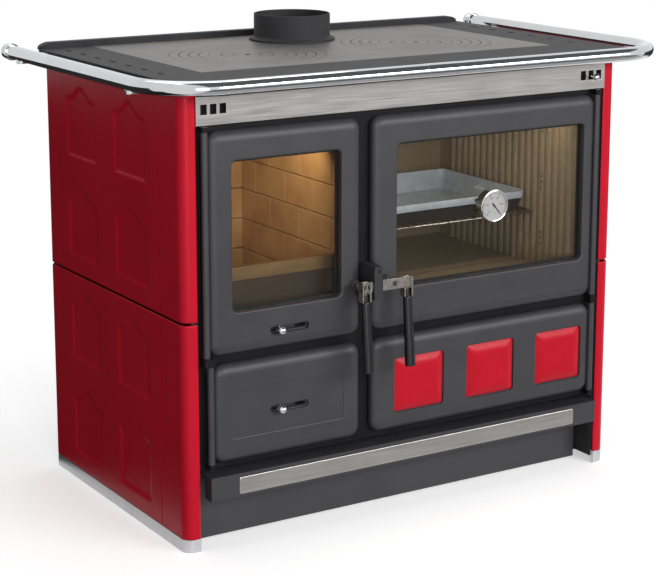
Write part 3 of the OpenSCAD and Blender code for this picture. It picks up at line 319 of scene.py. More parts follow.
FINISHES: dict[str, Finish | Glazing] = {
    # Cast iron under a satin anthracite enamel: even, with a fine orange-peel.
    "cast_iron_door": Finish(
        "anthracite_enamel_on_cast_iron", "#343336", "#3A393C", 60, (0.42, 0.52),
        grain_mm=1.4, relief_mm=0.05, specular=0.4,
    ),
    # The frame behind the doors is painted nearly black: painted shade from the doors that stand in
    # front of it.
    "frame_painted_shade": Finish(
        "cast_iron_with_painted_shade", "#111113", "#19191B", 50, (0.46, 0.56),
        grain_mm=1.4, relief_mm=0.05, specular=0.12,
    ),
    # The same casting, but oiled and baked: darker and duller, with the sand's grain.
    "cast_iron_hob": Finish(
        "oiled_cast_iron", "#2F2F31", "#3A393B", 40, (0.56, 0.68),
        grain_mm=1.6, relief_mm=0.06, tone=0.3, specular=0.16,
    ),
    # Cast iron ground flat: the wheel leaves fine lines along the stove. The real
    # lines are finer than the eye parts from here, so they are drawn 2 mm wide.
    "ground_plate": Finish(
        "ground_cast_iron", "#575451", "#6E6A67", 70, (0.4, 0.54), metallic=0.6,
        grain=Grain.ALONG_X, grain_mm=2.0, relief_mm=0.01, tone=0.5,
    ),
    # Painted shade in the turned grooves of the rings and lids: near black, to deepen them.
    "groove_painted_shade": Finish(
        "painted_shade_in_grooves", "#1B1A19", "#242220", 12, (0.75, 0.85), specular=0.1,
    ),
    # Glass enamel fired on steel sheet: an even deep red with a soft gloss.
    "red_enamel": Finish(
        "burgundy_enamel", "#BE1228", "#C6152C", 160, (0.34, 0.4),
        grain_mm=6.0, relief_mm=0.02, specular=0.16,
    ),
    # Stainless steel brushed along its length: highlights spread across it. The
    # scratches are drawn 2 mm wide, because real ones don't show from here.
    "brushed_steel": Finish(
        "brushed_stainless_steel", "#A9A5A2", "#BFBBB8", 60, (0.3, 0.42), metallic=1.0,
        grain=Grain.ALONG_X, grain_mm=1.6, relief_mm=0.01, tone=0.65, aniso=0.5,
    ),
    # The same steel with an upright satin grain, on the base strips.
    "bright_steel": Finish(
        "satin_stainless_steel", "#B9BABC", "#CBCCCE", 60, (0.32, 0.4), metallic=0.9,
        grain=Grain.ALONG_Z, grain_mm=1.6, relief_mm=0.01, tone=0.4,
    ),
    # Polished chromium plate: a mirror, hardly dulled by wiping.
    "chrome": Finish(
        "polished_chrome", "#C6C7C9", "#CDCED0", 50, (0.06, 0.11), metallic=1.0,
        grain_mm=8.0,
    ),
    # Heat-proof matt black paint on sheet and castings that stay hidden.
    "black_steel": Finish(
        "matt_stove_paint", "#262527", "#302F31", 25, (0.55, 0.7),
        relief_mm=0.03, specular=0.3,
    ),
    # Enamelled sheet of the plinth, a little smoother than the castings.
    "dark_enamel": Finish(
        "anthracite_sheet_enamel", "#343336", "#3B3A3D", 90, (0.36, 0.46),
        grain_mm=2.5, relief_mm=0.03, specular=0.4,
    ),
    # Zinc coat on sheet steel: pale crystals a few millimetres wide.
    "galvanised": Finish(
        "galvanised_sheet", "#8E9193", "#AEB1B3", 9, (0.35, 0.5), metallic=0.8,
        grain_mm=7.0, relief_mm=0.01, tone=0.5,
    ),
    # Pressed fireclay: dry and sandy, straw coloured, browner in the shade.
    "firebrick": Finish(
        "fireclay_brick", "#BC935F", "#DDBB86", 70, (0.85, 0.95),
        grain_mm=2.5, relief_mm=0.12, tone=0.2, specular=0.15,
    ),
    # Raw castings of the grate and the floor round it, rough from the sand mould.
    "grate_iron": Finish(
        "raw_cast_iron", "#232224", "#2F2D2E", 12, (0.6, 0.75),
        grain_mm=1.8, relief_mm=0.15, specular=0.3,
    ),
    # Steel that has been red hot: a brown-grey oxide film, dull and even.
    "heat_tinted": Finish(
        "heat_tinted_steel", "#4B4035", "#5E5041", 90, (0.45, 0.6), metallic=0.5,
        grain_mm=3.0, tone=0.2,
    ),
    # Painted highlight on the guard's upper bar: the steel painted a paler straw brown, as if lit.
    "guard_bar_painted_highlight": Finish(
        "paler_steel_painted_highlight", "#94754B", "#AE8E60", 60, (0.35, 0.5), metallic=0.6,
        grain=Grain.ALONG_X, grain_mm=1.6, tone=0.4,
    ),
    # Ground-coat enamel of an oven: brown, glossy, finely speckled.
    "oven_enamel": Finish(
        "oven_ground_enamel", "#98876A", "#AF9E80", 8, (0.34, 0.46),
        grain_mm=3.0, relief_mm=0.03, tone=0.3, specular=0.4,
    ),
    "rack_wire": Finish(
        "plated_wire", "#A9A599", "#C4BFB2", 14, (0.2, 0.32), metallic=1.0, grain_mm=2.0,
    ),
    # Tray enamel: pale blue-grey inside and over the rim.
    "tray_enamel": Finish(
        "pale_tray_enamel", "#C6D4DF", "#D8E3EC", 18, (0.2, 0.3),
        grain_mm=4.0, relief_mm=0.02, coat=0.2,
    ),
    # Painted shade on the tray's outside below the rim and underneath: a darker, speckled copy of
    # its enamel.
    "tray_painted_shade": Finish(
        "tray_enamel_painted_shade", "#2C2B2D", "#3C3B3D", 6, (0.3, 0.4), grain_mm=3.0, tone=0.3,
    ),
    "window_glass": Glazing("heat_proof_glass"),
    # Knitted glass-fibre rope: thick strands, dusty and matt.
    "seal_rope": Finish(
        "glass_fibre_rope", "#8F8B80", "#C6C1B4", 8, (0.85, 0.95),
        grain=Grain.WOVEN, grain_mm=14.0, relief_mm=0.7,
    ),
    # Stamped steel, tumbled bright: slightly uneven.
    "latch_steel": Finish(
        "tumbled_steel", "#A5A19B", "#C3BFBA", 10, (0.22, 0.36), metallic=1.0,
        grain_mm=2.5, relief_mm=0.03, tone=0.3,
    ),
    # Moulded heat-proof plastic: black with a soft satin sheen.
    "grip_plastic": Finish(
        "moulded_phenolic", "#111113", "#17171A", 20, (0.24, 0.34),
        grain_mm=1.2, relief_mm=0.01, specular=0.35,
    ),
    "pin_steel": Finish("turned_steel", "#7E7E80", "#98989A", 12, (0.3, 0.4), metallic=1.0),
    # Glazed tile: brilliant red, the glaze a little darker where it pools.
    "tile_red": Finish(
        "red_tile_glaze", "#B81526", "#C0182A", 40, (0.3, 0.38),
        grain_mm=12.0, relief_mm=0.03, specular=0.16,
    ),
    "pointer_black": Finish("black_lacquer", "#141416", "#1E1E20", 4, (0.35, 0.45)),
    "dial_white": Finish("white_dial_paint", "#FAFAF8", "#FEFEFD", 5, (0.4, 0.5)),
}


class Palette:
    """Builds each finish once and knows which slot a node takes."""

    def __init__(self) -> None:
        """Starts with nothing built."""
        self.built: dict[str, bpy.types.Material] = {}
        self.slots: dict[str, str] = {
            s["node"]: s["material_slot"] for s in frame["record"]["subparts"]
        }

    def get(self, slot: str) -> bpy.types.Material:
        """Returns the material of a slot, building it on first use."""
        if slot not in self.built:
            self.built[slot] = FINISHES[slot].build()
        return self.built[slot]

    def coat(self, thing: Thing, slot: str) -> None:
        """Gives an object one material all over.

        Args:
            thing: Object to dress.
            slot: Name of the material slot.
        """
        if not thing.material_slots:
            thing.data.materials.append(self.get(slot))
        for place in thing.material_slots:
            place.material = self.get(slot)


def placed(name: str, data: bpy.types.ID) -> Thing:
    """Puts data into the scene.

    Args:
        name: Name of the new object.
        data: Its mesh, curve, lamp or camera.

    Returns:
        The object.
    """
    thing = bpy.data.objects.new(name, data)
    bpy.context.scene.collection.objects.link(thing)
    return thing


def meshed(name: str, mesh: Mesh) -> Thing:
    """Makes an object from a mesh, which is used up.

    Args:
        name: Name of the object.
        mesh: Its shape.

    Returns:
        The object.
    """
    data = bpy.data.meshes.new(name)
    mesh.to_mesh(data)
    mesh.free()
    return placed(name, data)


def around(middle: float, half: float) -> Span:
    """Returns the span that reaches a half to both sides of a middle."""
    return (middle - half, middle + half)


def rounded_loop(
    x: Span, z: Span, r: float, y: float, inset: float = 0.0, steps: int = 8
) -> Loop:
    """Walks round a rectangle with round corners that faces the front.

    Args:
        x: Left and right edge.
        z: Lower and upper edge.
        r: Corner radius.
        y: Depth of the loop.
        inset: How far the loop stays inside those edges.
        steps: Facets in each corner.

    Returns:
        The points, anticlockwise seen from the front.
    """
    made = []
    left, right = x[0] + inset + r, x[1] - inset - r
    low, high = z[0] + inset + r, z[1] - inset - r
    corners = ((right, high), (left, high), (left, low), (right, low))
    for quarter, (cx, cz) in enumerate(corners):
        for i in range(steps + 1):
            a = math.radians(90 * quarter + 90 * i / steps)
            made.append(at(cx + r * math.cos(a), y, cz + r * math.sin(a)))
    return made


def prism(x: Span, z: Span, r: float, depths: Iterable[float]) -> list[Loop]:
    """Returns the same rounded loop at each of several depths."""
    return [rounded_loop(x, z, r, y) for y in depths]


def skin(mesh: Mesh, loops: Sequence[Sequence[Vector]], ends: bool = True) -> None:
    """Joins loops of equal length into a skin.

    Args:
        mesh: Mesh that takes the faces.
        loops: The loops in order.
        ends: Whether the first and the last loop are closed by a face.
    """
    rings = [[mesh.verts.new(p) for p in one] for one in loops]
    for low, high in zip(rings, rings[1:]):
        for i in range(len(low)):
            j = (i + 1) % len(low)
            mesh.faces.new((low[i], low[j], high[j], high[i]))
    if ends:
        mesh.faces.new(list(reversed(rings[0])))
        mesh.faces.new(rings[-1])


def turned(
    mesh: Mesh, profile: Sequence[Span], foot: Vector, axis: Vector, steps: int = 40
) -> None:
    """Adds a turned shape.

    Args:
        mesh: Mesh that takes the faces.
        profile: Radius and height of each ring, in millimetres.
        foot: Where the profile's height is zero, in metres.
        axis: Direction in which the height grows.
        steps: Facets round the axis.
    """
    aim = axis.to_track_quat("Z", "X").to_matrix()
    turns = [2 * math.pi * i / steps for i in range(steps)]
    skin(
        mesh,
        [
            [foot + aim @ Vector((r * math.cos(a), r * math.sin(a), h)) * MM for a in turns]
            for r, h in profile
        ],
    )


def swept(
    mesh: Mesh, path: Sequence[Vector], r: float, steps: int = 24, closed: bool = False
) -> None:
    """Adds a round bar along a path.

    Args:
        mesh: Mesh that takes the faces.
        path: Points of the centre line, in metres.
        r: Radius in millimetres.
        steps: Facets round the bar.
        closed: Whether the last point joins the first.
    """
    count = len(path)
    side = None
    loops = []
    for i, point in enumerate(path):
        ahead = path[(i + 1) % count] if closed or i + 1 < count else point
        behind = path[i - 1] if closed or i else point
        along = (ahead - behind).normalized()
        if side is None:
            side = along.orthogonal().normalized()
        side = (side - along * side.dot(along)).normalized()
        up = along.cross(side)
        turns = (2 * math.pi * k / steps for k in range(steps))
        loops.append([point + (side * math.cos(a) + up * math.sin(a)) * r * MM for a in turns])
    if closed:
        loops.append(loops[0])
    skin(mesh, loops, not closed)


def merged(mesh: Mesh, gap: float = 1e-7) -> None:
    """Welds the points of a mesh that lie within a gap in metres."""
    bmesh.ops.remove_doubles(mesh, verts=mesh.verts, dist=gap)


def outward(mesh: Mesh) -> None:
    """Turns a mesh's normals outward."""
    bmesh.ops.recalc_face_normals(mesh, faces=mesh.faces)


def copied(node: str) -> Mesh:
    """Copies a node's mesh, welded and with its flat faces joined.

    Args:
        node: Name of the node.

    Returns:
        The copy.
    """
    mesh = bmesh.new()
    mesh.from_mesh(NODES[node].data)
    merged(mesh, 2e-6)
    flat = math.radians(0.4)
    bmesh.ops.dissolve_limit(mesh, angle_limit=flat, verts=mesh.verts, edges=mesh.edges)
    return mesh


def broken(mesh: Mesh, width: float, crease: float = 0.0) -> None:
    """Breaks the edges of a mesh.

    Args:
        mesh: Mesh to work on.
        width: Width of a broken edge in millimetres.
        crease: Angle in degrees above which an edge is broken, or zero for all.
    """
    limit = math.radians(crease)
    bmesh.ops.bevel(
        mesh,
        geom=[
            e
            for e in mesh.edges
            if not crease or (len(e.link_faces) == 2 and e.calc_face_angle(0.0) > limit)
        ],
        offset=width * MM,
        offset_type="OFFSET",
        segments=2,
        profile=0.5,
        affect="EDGES",
        clamp_overlap=True,
    )


class Bench:
    """Turns meshes into dressed pieces that ride on the frame's bodies."""

    # Rings of a screw head with a socket, as shares of its radius.
    DOME: tuple[Span, ...] = ((1, 0), (1, 0.2), (0.9, 0.4), (0.55, 0.6), (0.5, 0.58), (0.45, 0.2))

    def __init__(self, palette: Palette) -> None:
        """Keeps the finishes of the stove."""
        self.palette = palette

    def finish(
        self,
        name: str,
        mesh: Mesh,
        body: str,
        slot: str,
        stands_for: Iterable[str] = (),
        crease: float = 32.0,
        tidy: bool = True,
    ) -> Thing:
        """Makes a piece from a mesh.

        Args:
            name: Name of the piece.
            mesh: Its shape, which is used up.
            body: Body that it moves with.
            slot: Material slot that it takes.
            stands_for: Nodes that it replaces.
            crease: Angle in degrees above which an edge stays sharp.
            tidy: Whether normals are turned outward.

        Returns:
            The piece.
        """
        if tidy:
            outward(mesh)
        limit = math.radians(crease)
        for edge in mesh.edges:
            edge.smooth = len(edge.link_faces) == 2 and edge.calc_face_angle(4.0) < limit
        for face in mesh.faces:
            face.smooth = True
        thing = meshed(name, mesh)
        self.palette.coat(thing, slot)
        even = thing.modifiers.new("even_normals", "WEIGHTED_NORMAL")
        even.keep_sharp = True
        even.weight = 80
        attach(thing, body)
        if stands_for:
            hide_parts(*stands_for)
        LOG.info("%s rides on %s", name, body)
        return thing

    def eased(self, node: str, width: float, crease: float = 40.0) -> Thing:
        """Replaces a node by a copy whose sharp edges are broken.

        Args:
            node: Name of the node.
            width: Width of the broken edge in millimetres.
            crease: Angle in degrees above which an edge is broken.

        Returns:
            The piece.
        """
        mesh = copied(node)
        broken(mesh, width, crease)
        body, slot = NODES[node]["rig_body"], self.palette.slots[node]
        return self.finish(f"{node}_eased", mesh, body, slot, (node,), 50, tidy=False)

    def part_coat(
        self, thing: Thing, slot: str, chosen: Callable[[Vector, Vector], bool]
    ) -> None:
        """Gives some faces of a piece a second finish.

        Args:
            thing: Piece to dress.
            slot: Name of the second finish.
            chosen: Tells from a face's middle and normal whether it takes it.
        """
        thing.data.materials.append(self.palette.get(slot))
        last = len(thing.data.materials) - 1
        for face in thing.data.polygons:
            if chosen(face.center, face.normal):
                face.material_index = last

    def screws(
        self, name: str, body: str, places: Iterable[Vector], out: Vector, r: float, slot: str
    ) -> None:
        """Sets domed screw heads with a socket.

        Args:
            name: Name of the piece.
            body: Body that they move with.
            places: Middle of each seat, in metres.
            out: Direction in which the heads face.
            r: Radius of a head in millimetres.
            slot: Material slot.
        """
        mesh = bmesh.new()
        for place in places:
            turned(mesh, [(a * r, b * r) for a, b in self.DOME], place, out, 18)
        self.finish(name, mesh, body, slot)


@dataclass
class Carcass:
    """Side panels, front frame, fascia, strips and the outer back.

    A sunk field's arch is its width, upright height and rise. An upright line's
    bead is its distance from the fields, depth and width.
    """

    bench: Bench
    half_w: float = 486.5
    inner: float = 456.0
    depth: float = 572.0
    thick: float = 4.0
    corner_r: float = 20.0
    roll: float = 2.5
    arch: Point = (134.0, 120.0, 23.0)
    shoulder: float = 17.0
    middle: float = 309.0
    pitch: Span = (210.0, 197.0)
    sink: float = 2.8
    slope: float = 9.0
    bead: Point = (7.0, 0.9, 1.6)
    grid: float = 3.0
    upper: Span = (429.5, 836.0)
    lower: Span = (24.5, 425.5)
    screws_x: tuple[float, ...] = (-465, -235, 235, 465)
    screws_z: tuple[float, ...] = (40, 430, 822)

    def arch_outline(self) -> np.ndarray:
        """Returns the outline of one field, its foot's middle at zero."""
        w, h, rise = self.arch
        crown = w / 2 - self.shoulder
        pts = [(-w / 2, 0.0), (w / 2, 0.0), (w / 2, h)]
        for i in range(25):
            u = 1 - i / 12
            pts.append((u * crown, h + rise * (1 + math.cos(math.pi * u)) / 2))
        return np.array(pts + [(-w / 2, h)])

    def field(self, y: np.ndarray, z: np.ndarray) -> np.ndarray:
        """Works out how deep each point lies in one field.

        Args:
            y: Distance of each point behind the middle of the field's foot.
            z: Its height over the foot.

        Returns:
            Depth below the face in millimetres.
        """
        outline = self.arch_outline()
        near = np.full_like(y, 1e9)
        inside = np.zeros(y.shape, bool)
        for a, b in zip(outline, np.roll(outline, -1, axis=0)):
            d = b - a
            t = np.clip(((y - a[0]) * d[0] + (z - a[1]) * d[1]) / max(d @ d, 1e-9), 0, 1)
            near = np.minimum(near, np.hypot(y - a[0] - t * d[0], z - a[1] - t * d[1]))
            edge = a[0] + (z - a[1]) * d[0] / (d[1] if abs(d[1]) > 1e-9 else 1e-9)
            inside ^= ((a[1] > z) != (b[1] > z)) & (y < edge)
        t = np.clip(np.where(inside, near, 0) / self.slope, 0, 1)
        return self.sink * t * t * (3 - 2 * t)

    def sunk(self, y: np.ndarray, z: np.ndarray, span: Span) -> np.ndarray:
        """Works out how deep each point of a side lies in its fields and lines.

        Args:
            y: Depth of each point.
            z: Height of each point.
            span: Lower and upper edge of the panel.

        Returns:
            Depth below the face in millimetres.
        """
        step_y, step_z = self.pitch
        row = span[0] + (span[1] - span[0] - step_z - self.arch[1] - self.arch[2]) / 2
        total = np.zeros_like(y)
        for col in (-0.5, 0.5):
            for level in (0, 1):
                total += self.field(y - (self.middle + col * step_y), z - (row + level * step_z))
        off, deep, wide = self.bead
        for line in around(self.middle, step_y + off):
            total += deep * np.exp(-(((y - line) / wide) ** 2))
        return total

    def plan(self) -> np.ndarray:
        """Walks in plan along the return, round the corner and along the side.

        Returns:
            Place and outward direction of each point, for the right side.
        """
        r = self.corner_r
        path: list[Four] = []
        for x in np.linspace(self.inner, self.half_w - r, 6)[:-1]:
            path.append((x, 0.0, 0.0, -1.0))
        for a in np.radians(np.linspace(-90, 0, 13)):
            c, s = math.cos(a), math.sin(a)
            path.append((self.half_w - r + r * c, r + r * s, c, s))
        for y in (*np.arange(r + self.grid, self.depth, self.grid), self.depth):
            path.append((self.half_w, float(y), 1.0, 0.0))
        return np.array(path)

    def panel(self, name: str, side: int, span: Span) -> None:
        """Builds one side panel as a pressed sheet.

        Args:
            name: Name of the node that it replaces.
            side: One for the right, minus one for the left.
            span: Lower and upper edge.
        """
        plan = self.plan()
        ends = np.array([0, 0.4, 1.1, 2.2])
        inner = np.arange(span[0] + 4, span[1] - 3, self.grid)
        heights = np.concatenate([span[0] + ends, inner, span[1] - ends[::-1]])
        rows, cols = len(heights), len(plan)
        y = np.tile(plan[:, 1], rows)
        z = np.repeat(heights, cols)
        sink = np.where(np.tile(plan[:, 2], rows) > 0.999, self.sunk(y, z, span), 0.0)
        steps = np.hypot(*np.diff(plan[:, :2], axis=0).T)
        along = np.concatenate([[0.0], np.cumsum(steps)])
        run = np.minimum(along, along[-1] - along)
        edge = np.minimum(np.tile(run, rows), np.minimum(z - span[0], span[1] - z))
        part = np.clip(self.roll - edge, 0, self.roll)
        sink += self.roll - np.sqrt(self.roll**2 - part**2)
        mesh = bmesh.new()
        grid = []
        for k in range(rows * cols):
            px, py, nx, ny = plan[k % cols]
            spot = at(side * (px - nx * sink[k]), py - ny * sink[k], z[k])
            grid.append(mesh.verts.new(spot))
        for j in range(rows - 1):
            for i in range(cols - 1):
                a = j * cols + i
                four = (grid[a], grid[a + 1], grid[a + cols + 1], grid[a + cols])
                mesh.faces.new(four[::side])
        thing = self.bench.finish(
            f"{name}_pressed", mesh, "stove", "red_enamel", (name,), 60, tidy=False
        )
        wall = thing.modifiers.new("wall", "SOLIDIFY")
        wall.thickness, wall.offset = self.thick * MM, -1

    def build(self) -> None:
        """Builds the carcass."""
        for side, word in ((-1, "left"), (1, "right")):
            self.panel(f"upper_{word}_panel", side, self.upper)
            self.panel(f"lower_{word}_panel", side, self.lower)
        casting = self.bench.eased("front_frame", 1.2)
        # The whole front frame takes the nearly black colour as painted shade.
        self.bench.part_coat(casting, "frame_painted_shade", lambda spot, out: True)
        parts = ("fascia", "base_strips", "back_panel", "door_catch", "levelling_feet")
        for node, width in zip(parts, (0.4, 0.6, 0.8, 1.4, 0.6)):
            self.bench.eased(node, width)
        places = [at(x, self.depth, z) for x in self.screws_x for z in self.screws_z]
        self.bench.screws("back_panel_screws", "stove", places, REAR, 4.5, "pin_steel")


@dataclass
class Hob:
    """Cast frame, ground plate, lift-off rings and lids, and the flue collar.

    The rim at the rear slopes down over rim_run, to a share rim_end of its height.
    """

    bench: Bench
    rim_run: float = 26.0
    rim_end: float = 0.12
    rim_power: float = 0.8

    def frame(self) -> None:
        """Eases the frame and slopes the ends of the rim at its rear edge."""
        mesh = copied("hob_frame")
        for side in (-1, 1):
            for k in range(1, 8):
                bmesh.ops.bisect_plane(
                    mesh,
                    geom=[*mesh.verts, *mesh.edges, *mesh.faces],
                    plane_co=Vector((side * (HOB_HALF - self.rim_run * k / 7), 0, 0)) * MM,
                    plane_no=Vector((1, 0, 0)),
                )
        for vert in mesh.verts:
            above = vert.co.z / MM - HOB_TOP
            t = (HOB_HALF - abs(vert.co.x) / MM) / self.rim_run
            if above > 1 and t < 1:
                rise = math.sin(math.pi / 2 * max(t, 0.0)) ** self.rim_power
                keep = self.rim_end + (1 - self.rim_end) * rise
                vert.co.z = (HOB_TOP + above * keep) * MM
        broken(mesh, 2.0, 40)
        self.bench.finish(
            "hob_frame_cast", mesh, "stove", "cast_iron_hob", ("hob_frame",), 50, tidy=False
        )

    def build(self) -> None:
        """Builds the hob."""
        self.frame()
        self.bench.eased("hob_plate", 0.5)
        groove_z = (HOB_TOP - 0.2) * MM
        for node in ("left_ring", "left_lid", "right_ring", "right_lid"):
            disc = self.bench.eased(node, 0.3, 60)
            # Faces below the top of the rings and lids, in their grooves, take painted shade.
            self.bench.part_coat(disc, "groove_painted_shade", lambda spot, out: spot.z < groove_z)
        self.bench.eased("flue_collar", 0.5)


@dataclass
class TowelRail:
    """Chrome tubes round the hob with their sleeve, caps and brackets."""

    bench: Bench
    reach_x: float = 556.0
    front_y: float = -85.0
    rear_y: float = 570.0
    height: float = 857.0
    bend_r: float = 122.0
    tube_r: float = 13.5
    sleeve: float = 66.0
    cap_l: float = 36.0
    brackets_y: Span = (50.0, 529.0)
    brackets_z: float = 850.0

    def half(self, side: int, word: str) -> None:
        """Bends one tube.

        Args:
            side: One for the right, minus one for the left.
            word: Name of the side.
        """
        path = [at(side * self.sleeve / 2, self.front_y, self.height)]
        cx, cy = self.reach_x - self.bend_r, self.front_y + self.bend_r
        for i in range(25):
            a = math.radians(-90 + 90 * i / 24)
            x, y = cx + self.bend_r * math.cos(a), cy + self.bend_r * math.sin(a)
            path.append(at(side * x, y, self.height))
        path.append(at(side * self.reach_x, self.rear_y, self.height))
        mesh = bmesh.new()
        swept(mesh, path, self.tube_r, 40)
        self.bench.finish(f"rail_tube_{word}", mesh, "stove", "chrome", (f"rail_{word}",))

    def caps(self) -> None:
        """Turns the two caps: a collar, a ring and a ball with grooves between."""
        r = self.tube_r
        collar = ((-0.2, 0.0), (2.4, 0.0), (3.0, 0.6), (3.0, 4.2), (2.4, 5.0), (-0.6, 5.4))
        groove = ((-1.2, 6.4), (-0.6, 7.6))
        ring = ((0.9, 8.0), (1.5, 9.0), (1.5, 11.4), (0.9, 12.4))
        neck = ((-1.4, 12.8), (-2.2, 13.8), (-1.6, 15.2))
        profile = [(r + out, h) for out, h in (*collar, *groove, *ring, *neck)]
        ball = r + 1.5
        centre = self.cap_l - ball * 0.98
        for i in range(15):
            a = math.radians(-24 + 108 * i / 14)
            profile.append((max(ball * math.cos(a), 0.3), centre + ball * math.sin(a)))
        mesh = bmesh.new()
        for side in (-1, 1):
            turned(mesh, profile, at(side * self.reach_x, self.rear_y, self.height), REAR, 48)
        self.bench.finish("rail_caps_turned", mesh, "stove", "chrome", ("rail_caps",))

    def build(self) -> None:
        """Builds the rail."""
        sides = ((-1, "left"), (1, "right"))
        for side, word in sides:
            self.half(side, word)
        self.bench.eased("rail_sleeve", 0.6)
        self.caps()
        self.bench.eased("rail_brackets", 0.8)
        for side, word in sides:
            x, z = side * (HOB_HALF + 5), self.brackets_z
            places = [at(x, y + dy, z) for y in self.brackets_y for dy in (-6, 6)]
            out = Vector((side, 0, 0))
            self.bench.screws(f"bracket_screws_{word}", "stove", places, out, 2.6, "chrome")


@dataclass
class Door:
    """A cushion-edged casting with its hinge bead and, if it has one, its window.

    Attributes:
        bench: Where pieces are finished.
        node: Name of its node.
        body: Body that it rides on.
        hinge_x: Place of its hinge line.
        x: Left and right edge of the plate.
        z: Lower and upper edge.
        window: Its window, or nothing.
        slot_at: Middle of its air slot, or nothing.
        panel: Edges of a sunk panel, in a window's order, or nothing.
        pockets: Edges of each tile's pocket.
        spindle_x: Place of its latch spindle, or nothing.
        edge: Width and depth of its cushion edge.
        corner_r: Radius of its corners.
        window_r: Radius of the window's corners.
        rebate: Width and depth of the rebate that takes the glass.
        bead_r: Radius of the hinge bead.
        web: Width of the web that joins the bead to the plate.
        latch_z: Height of the spindle.
    """

    bench: Bench
    node: str
    body: str
    hinge_x: float
    x: Span
    z: Span
    window: Four | None = None
    slot_at: Span | None = None
    panel: Four | None = None
    pockets: tuple[Four, ...] = ()
    spindle_x: float | None = None
    edge: Span = (20.0, 14.0)
    corner_r: float = 21.0
    window_r: float = 10.0
    rebate: Span = (5.0, 5.5)
    bead_r: float = 6.25
    web: float = 26.0
    latch_z: float = 460.0

    def plate(self, mesh: Mesh) -> None:
        """Draws the plate with its cushion edge and window.

        Args:
            mesh: Mesh that takes it.
        """
        x, z, r = self.x, self.z, self.corner_r
        loops = [rounded_loop(x, z, r, BACK_Y, 1), rounded_loop(x, z, r, BACK_Y - 1)]
        for i in range(13):
            a = math.radians(90 * i / 12)
            inset = self.edge[0] * (1 - math.cos(a))
            y = FACE_Y + self.edge[1] * (1 - math.sin(a))
            loops.append(rounded_loop(x, z, r - inset, y, inset))
        if self.window:
            x, z, r = self.window[:2], self.window[2:], self.window_r
            wide, deep = self.rebate
            for grow, y in ((4.0, 0.0), (2.6, 0.25), (1.2, 1.0), (0.3, 2.4), (0.0, 4.5)):
                loops.append(rounded_loop(x, z, r + grow, FACE_Y + y, -grow))
            loops.append(rounded_loop(x, z, r, BACK_Y - deep))
            loops += [rounded_loop(x, z, 5, y, -wide) for y in (BACK_Y - deep, BACK_Y)]
            loops.append(loops[0])
        skin(mesh, loops, not self.window)
        merged(mesh)

    def hollows(self) -> list[list[Loop]]:
        """Draws what is cut from the plate: sunk panel, tile pockets and air slot.

        Returns:
            The loops of each hollow.
        """
        made: list[list[Loop]] = []
        if self.panel:
            x, z = self.panel[:2], self.panel[2:]
            mouth = prism(x, z, 5, (FACE_Y - 2, FACE_Y + 0.6))
            made.append([*mouth, rounded_loop(x, z, 4, FACE_Y + 2, 2)])
        for pocket in self.pockets:
            made.append(prism(pocket[:2], pocket[2:], 9, (FACE_Y - 2, FACE_Y + 4)))
        if self.slot_at:
            x, z = self.slot_at
            recess, through = (FACE_Y - 2, FACE_Y + 6), (FACE_Y, BACK_Y + 2)
            for half, high, depths in ((41, 7.5, recess), (37.5, 4, through)):
                made.append(prism(around(x, half), around(z, high), high - 0.01, depths))
        return made

    def cut(self, mesh: Mesh) -> Mesh:
        """Cuts the hollows out of the plate.

        Args:
            mesh: The plate, which is used up.

        Returns:
            The plate with its hollows.
        """
        outward(mesh)
        blank = meshed("blank", mesh)
        cutters = []
        for loops in self.hollows():
            shape = bmesh.new()
            skin(shape, loops)
            outward(shape)
            cutters.append(meshed("cutter", shape))
            tool = blank.modifiers.new("cut", "BOOLEAN")
            tool.object, tool.operation, tool.solver = cutters[-1], "DIFFERENCE", "EXACT"
        graph = bpy.context.evaluated_depsgraph_get()
        made = bmesh.new()
        made.from_mesh(bpy.data.meshes.new_from_object(blank.evaluated_get(graph)))
        for thing in (blank, *cutters):
            bpy.data.objects.remove(thing)
        return made

    def build(self) -> None:
        """Builds the door."""
        mesh = bmesh.new()
        self.plate(mesh)
        if self.slot_at or self.panel or self.pockets:
            mesh = self.cut(mesh)
        long = self.z[1] - self.z[0]
        r = self.bead_r
        bead = [(4.5, 0.0), (r - 0.6, 0.0), (r, 0.8), (r, long - 0.8), (r - 0.6, long), (4.5, long)]
        turned(mesh, bead, at(self.hinge_x, -5.5, self.z[0]), UP, 28)
        far = self.hinge_x + (self.web if self.x[0] > self.hinge_x else -self.web)
        web = (min(self.hinge_x, far), max(self.hinge_x, far))
        skin(mesh, prism(web, (self.z[0] + 14, self.z[1] - 14), 2, (-3.5, 5.0)))
        if self.spindle_x is not None:
            boss = [(12, 0), (12, 1), (10.6, 3), (9.4, 8), (8.6, 10)]
            stem = [(5, 10), (5, 34.2), (4.2, 35)]
            foot = at(self.spindle_x, FACE_Y + 1, self.latch_z)
            turned(mesh, boss + stem, foot, FRONT, 32)
        self.bench.finish(
            f"{self.node}_casting", mesh, self.body, "cast_iron_door", (self.node,), 35
        )


@dataclass
class Tiles:
    """Three cushion-shaped tiles bedded in the lower oven-side door."""

    bench: Bench
    size: Span = (111.0, 104.0)
    depths: Span = (-8.0, -15.0)
    corner_r: float = 5.0
    cushion: Span = (19.0, 6.0)

    def build(self) -> None:
        """Builds the tiles as one piece."""
        mesh = bmesh.new()
        inset, rise = self.cushion
        bed, face = self.depths
        for middle in TILE_MIDDLES:
            x, z = around(middle, self.size[0] / 2), around(TILE_Z, self.size[1] / 2)
            loops = [rounded_loop(x, z, self.corner_r, bed)]
            for i in range(14):
                s = inset * i / 13
                y = face + rise * (1 - math.sin(math.pi / 2 * i / 13))
                loops.append(rounded_loop(x, z, self.corner_r + 0.15 * s, y, s))
            skin(mesh, loops)
        self.bench.finish(
            "door_tiles_glazed", mesh, "tile_door_body", "tile_red", ("door_tiles",), 50
        )


